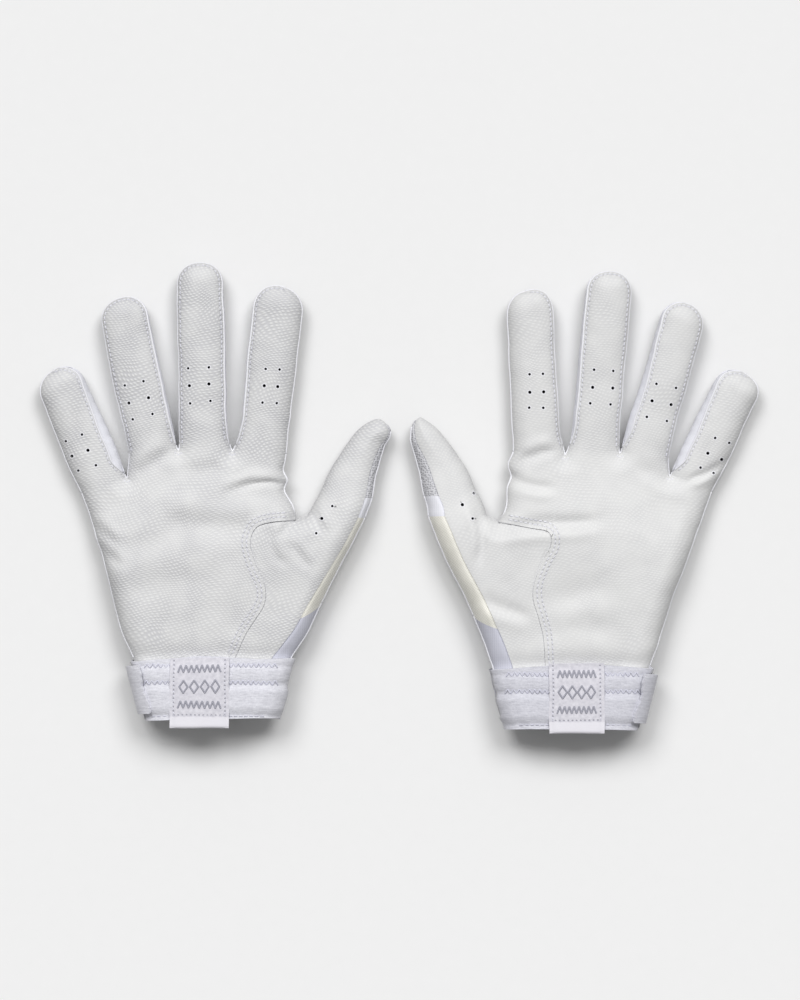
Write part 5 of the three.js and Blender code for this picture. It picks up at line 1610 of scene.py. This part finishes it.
# Floor
# A sheet of matt white paper, as in a studio sweep, lies under the gloves and shows their soft shadow. Its
# fibres are too fine to see, and only keep it from being one flat tone.
floor_reach = 3.0
floor_mesh = bpy.data.meshes.new("paper_floor")
corners = [(-floor_reach, -floor_reach, 0), (floor_reach, -floor_reach, 0), (floor_reach, floor_reach, 0),
           (-floor_reach, floor_reach, 0)]
floor_mesh.from_pydata(corners, [], [(0, 1, 2, 3)])
paper, paper_tree, paper_shader = finish("matt_white_paper", 0.95)
paper_fibre = add(paper_tree, "TexNoise", {"Scale": 900.0, "Detail": 2.0})
paper_tint = add(paper_tree, "Mix", {0: paper_fibre.outputs[0], 6: linear("#EFEFEF"), 7: linear("#F1F1F1")},
                 data_type="RGBA")
# The camera and reflections see the white paper; to the gloves it gives back less light, as a grey table does
path = add(paper_tree, "LightPath")
seen = add(paper_tree, "Math", {0: path.outputs["Is Camera Ray"], 1: path.outputs["Is Glossy Ray"]},
           operation="MAXIMUM")
seen = add(paper_tree, "Math", {0: seen.outputs[0], 1: path.outputs["Is Transmission Ray"]},
           operation="MAXIMUM")
paper_shown = add(paper_tree, "Mix", {0: seen.outputs[0], 6: linear("#8C8C8C"), 7: paper_tint.outputs[2]},
                  data_type="RGBA")
paper_tree.links.new(paper_shown.outputs[2], paper_shader.inputs["Base Color"])
floor_mesh.materials.append(paper)
floor = bpy.data.objects.new("paper_floor", floor_mesh)
bpy.context.scene.collection.objects.link(floor)

# Light and camera
# A white studio gives even light from all sides. A row of three broad lamps beyond the fingers gives the soft
# shadow below and beside the gloves. The camera looks straight down from far off, so perspective is slight.
sky_level, lamp_level = 0.26, 0.74
lamp_width_deg, lamp_tilt_deg, lamp_spread_deg = 27, 34, 24
side_share = 0.42        # of the lamps' light, what each outer lamp gives
camera_height, camera_aim = 2.4, 0.010
frame_height_px, sensor_mm = 1000, 36
sky = bpy.data.worlds.new("white_studio")
sky.use_nodes = True
sky.node_tree.nodes["Background"].inputs["Color"].default_value = (1, 1, 1, 1)
sky.node_tree.nodes["Background"].inputs["Strength"].default_value = sky_level
bpy.context.scene.world = sky
lamps = [("left", -1, side_share), ("middle", 0, 1 - 2 * side_share), ("right", 1, side_share)]
for place, spread, share in lamps:
    lamp = bpy.data.lights.new(f"broad_lamp_{place}", "SUN")
    lamp.angle = math.radians(lamp_width_deg)
    sideways = spread * math.tan(math.radians(lamp_spread_deg))
    toward = Vector((sideways, math.tan(math.radians(lamp_tilt_deg)), 1.0))
    lamp.energy = lamp_level * share * math.pi * toward.length
    lamp_holder = bpy.data.objects.new(f"broad_lamp_{place}", lamp)
    lamp_holder.rotation_euler = toward.to_track_quat("Z", "Y").to_euler()
    bpy.context.scene.collection.objects.link(lamp_holder)
view = bpy.data.cameras.new("overhead_camera")
view.sensor_fit = "VERTICAL"
view.sensor_height = sensor_mm
view.lens = sensor_mm * camera_height / (frame_height_px * mm_per_px * mm)
camera = bpy.data.objects.new("overhead_camera", view)
camera.location = (0, 0, camera_height + camera_aim)
bpy.context.scene.collection.objects.link(camera)
bpy.context.scene.camera = camera
bpy.context.scene.view_settings.view_transform = "Standard"
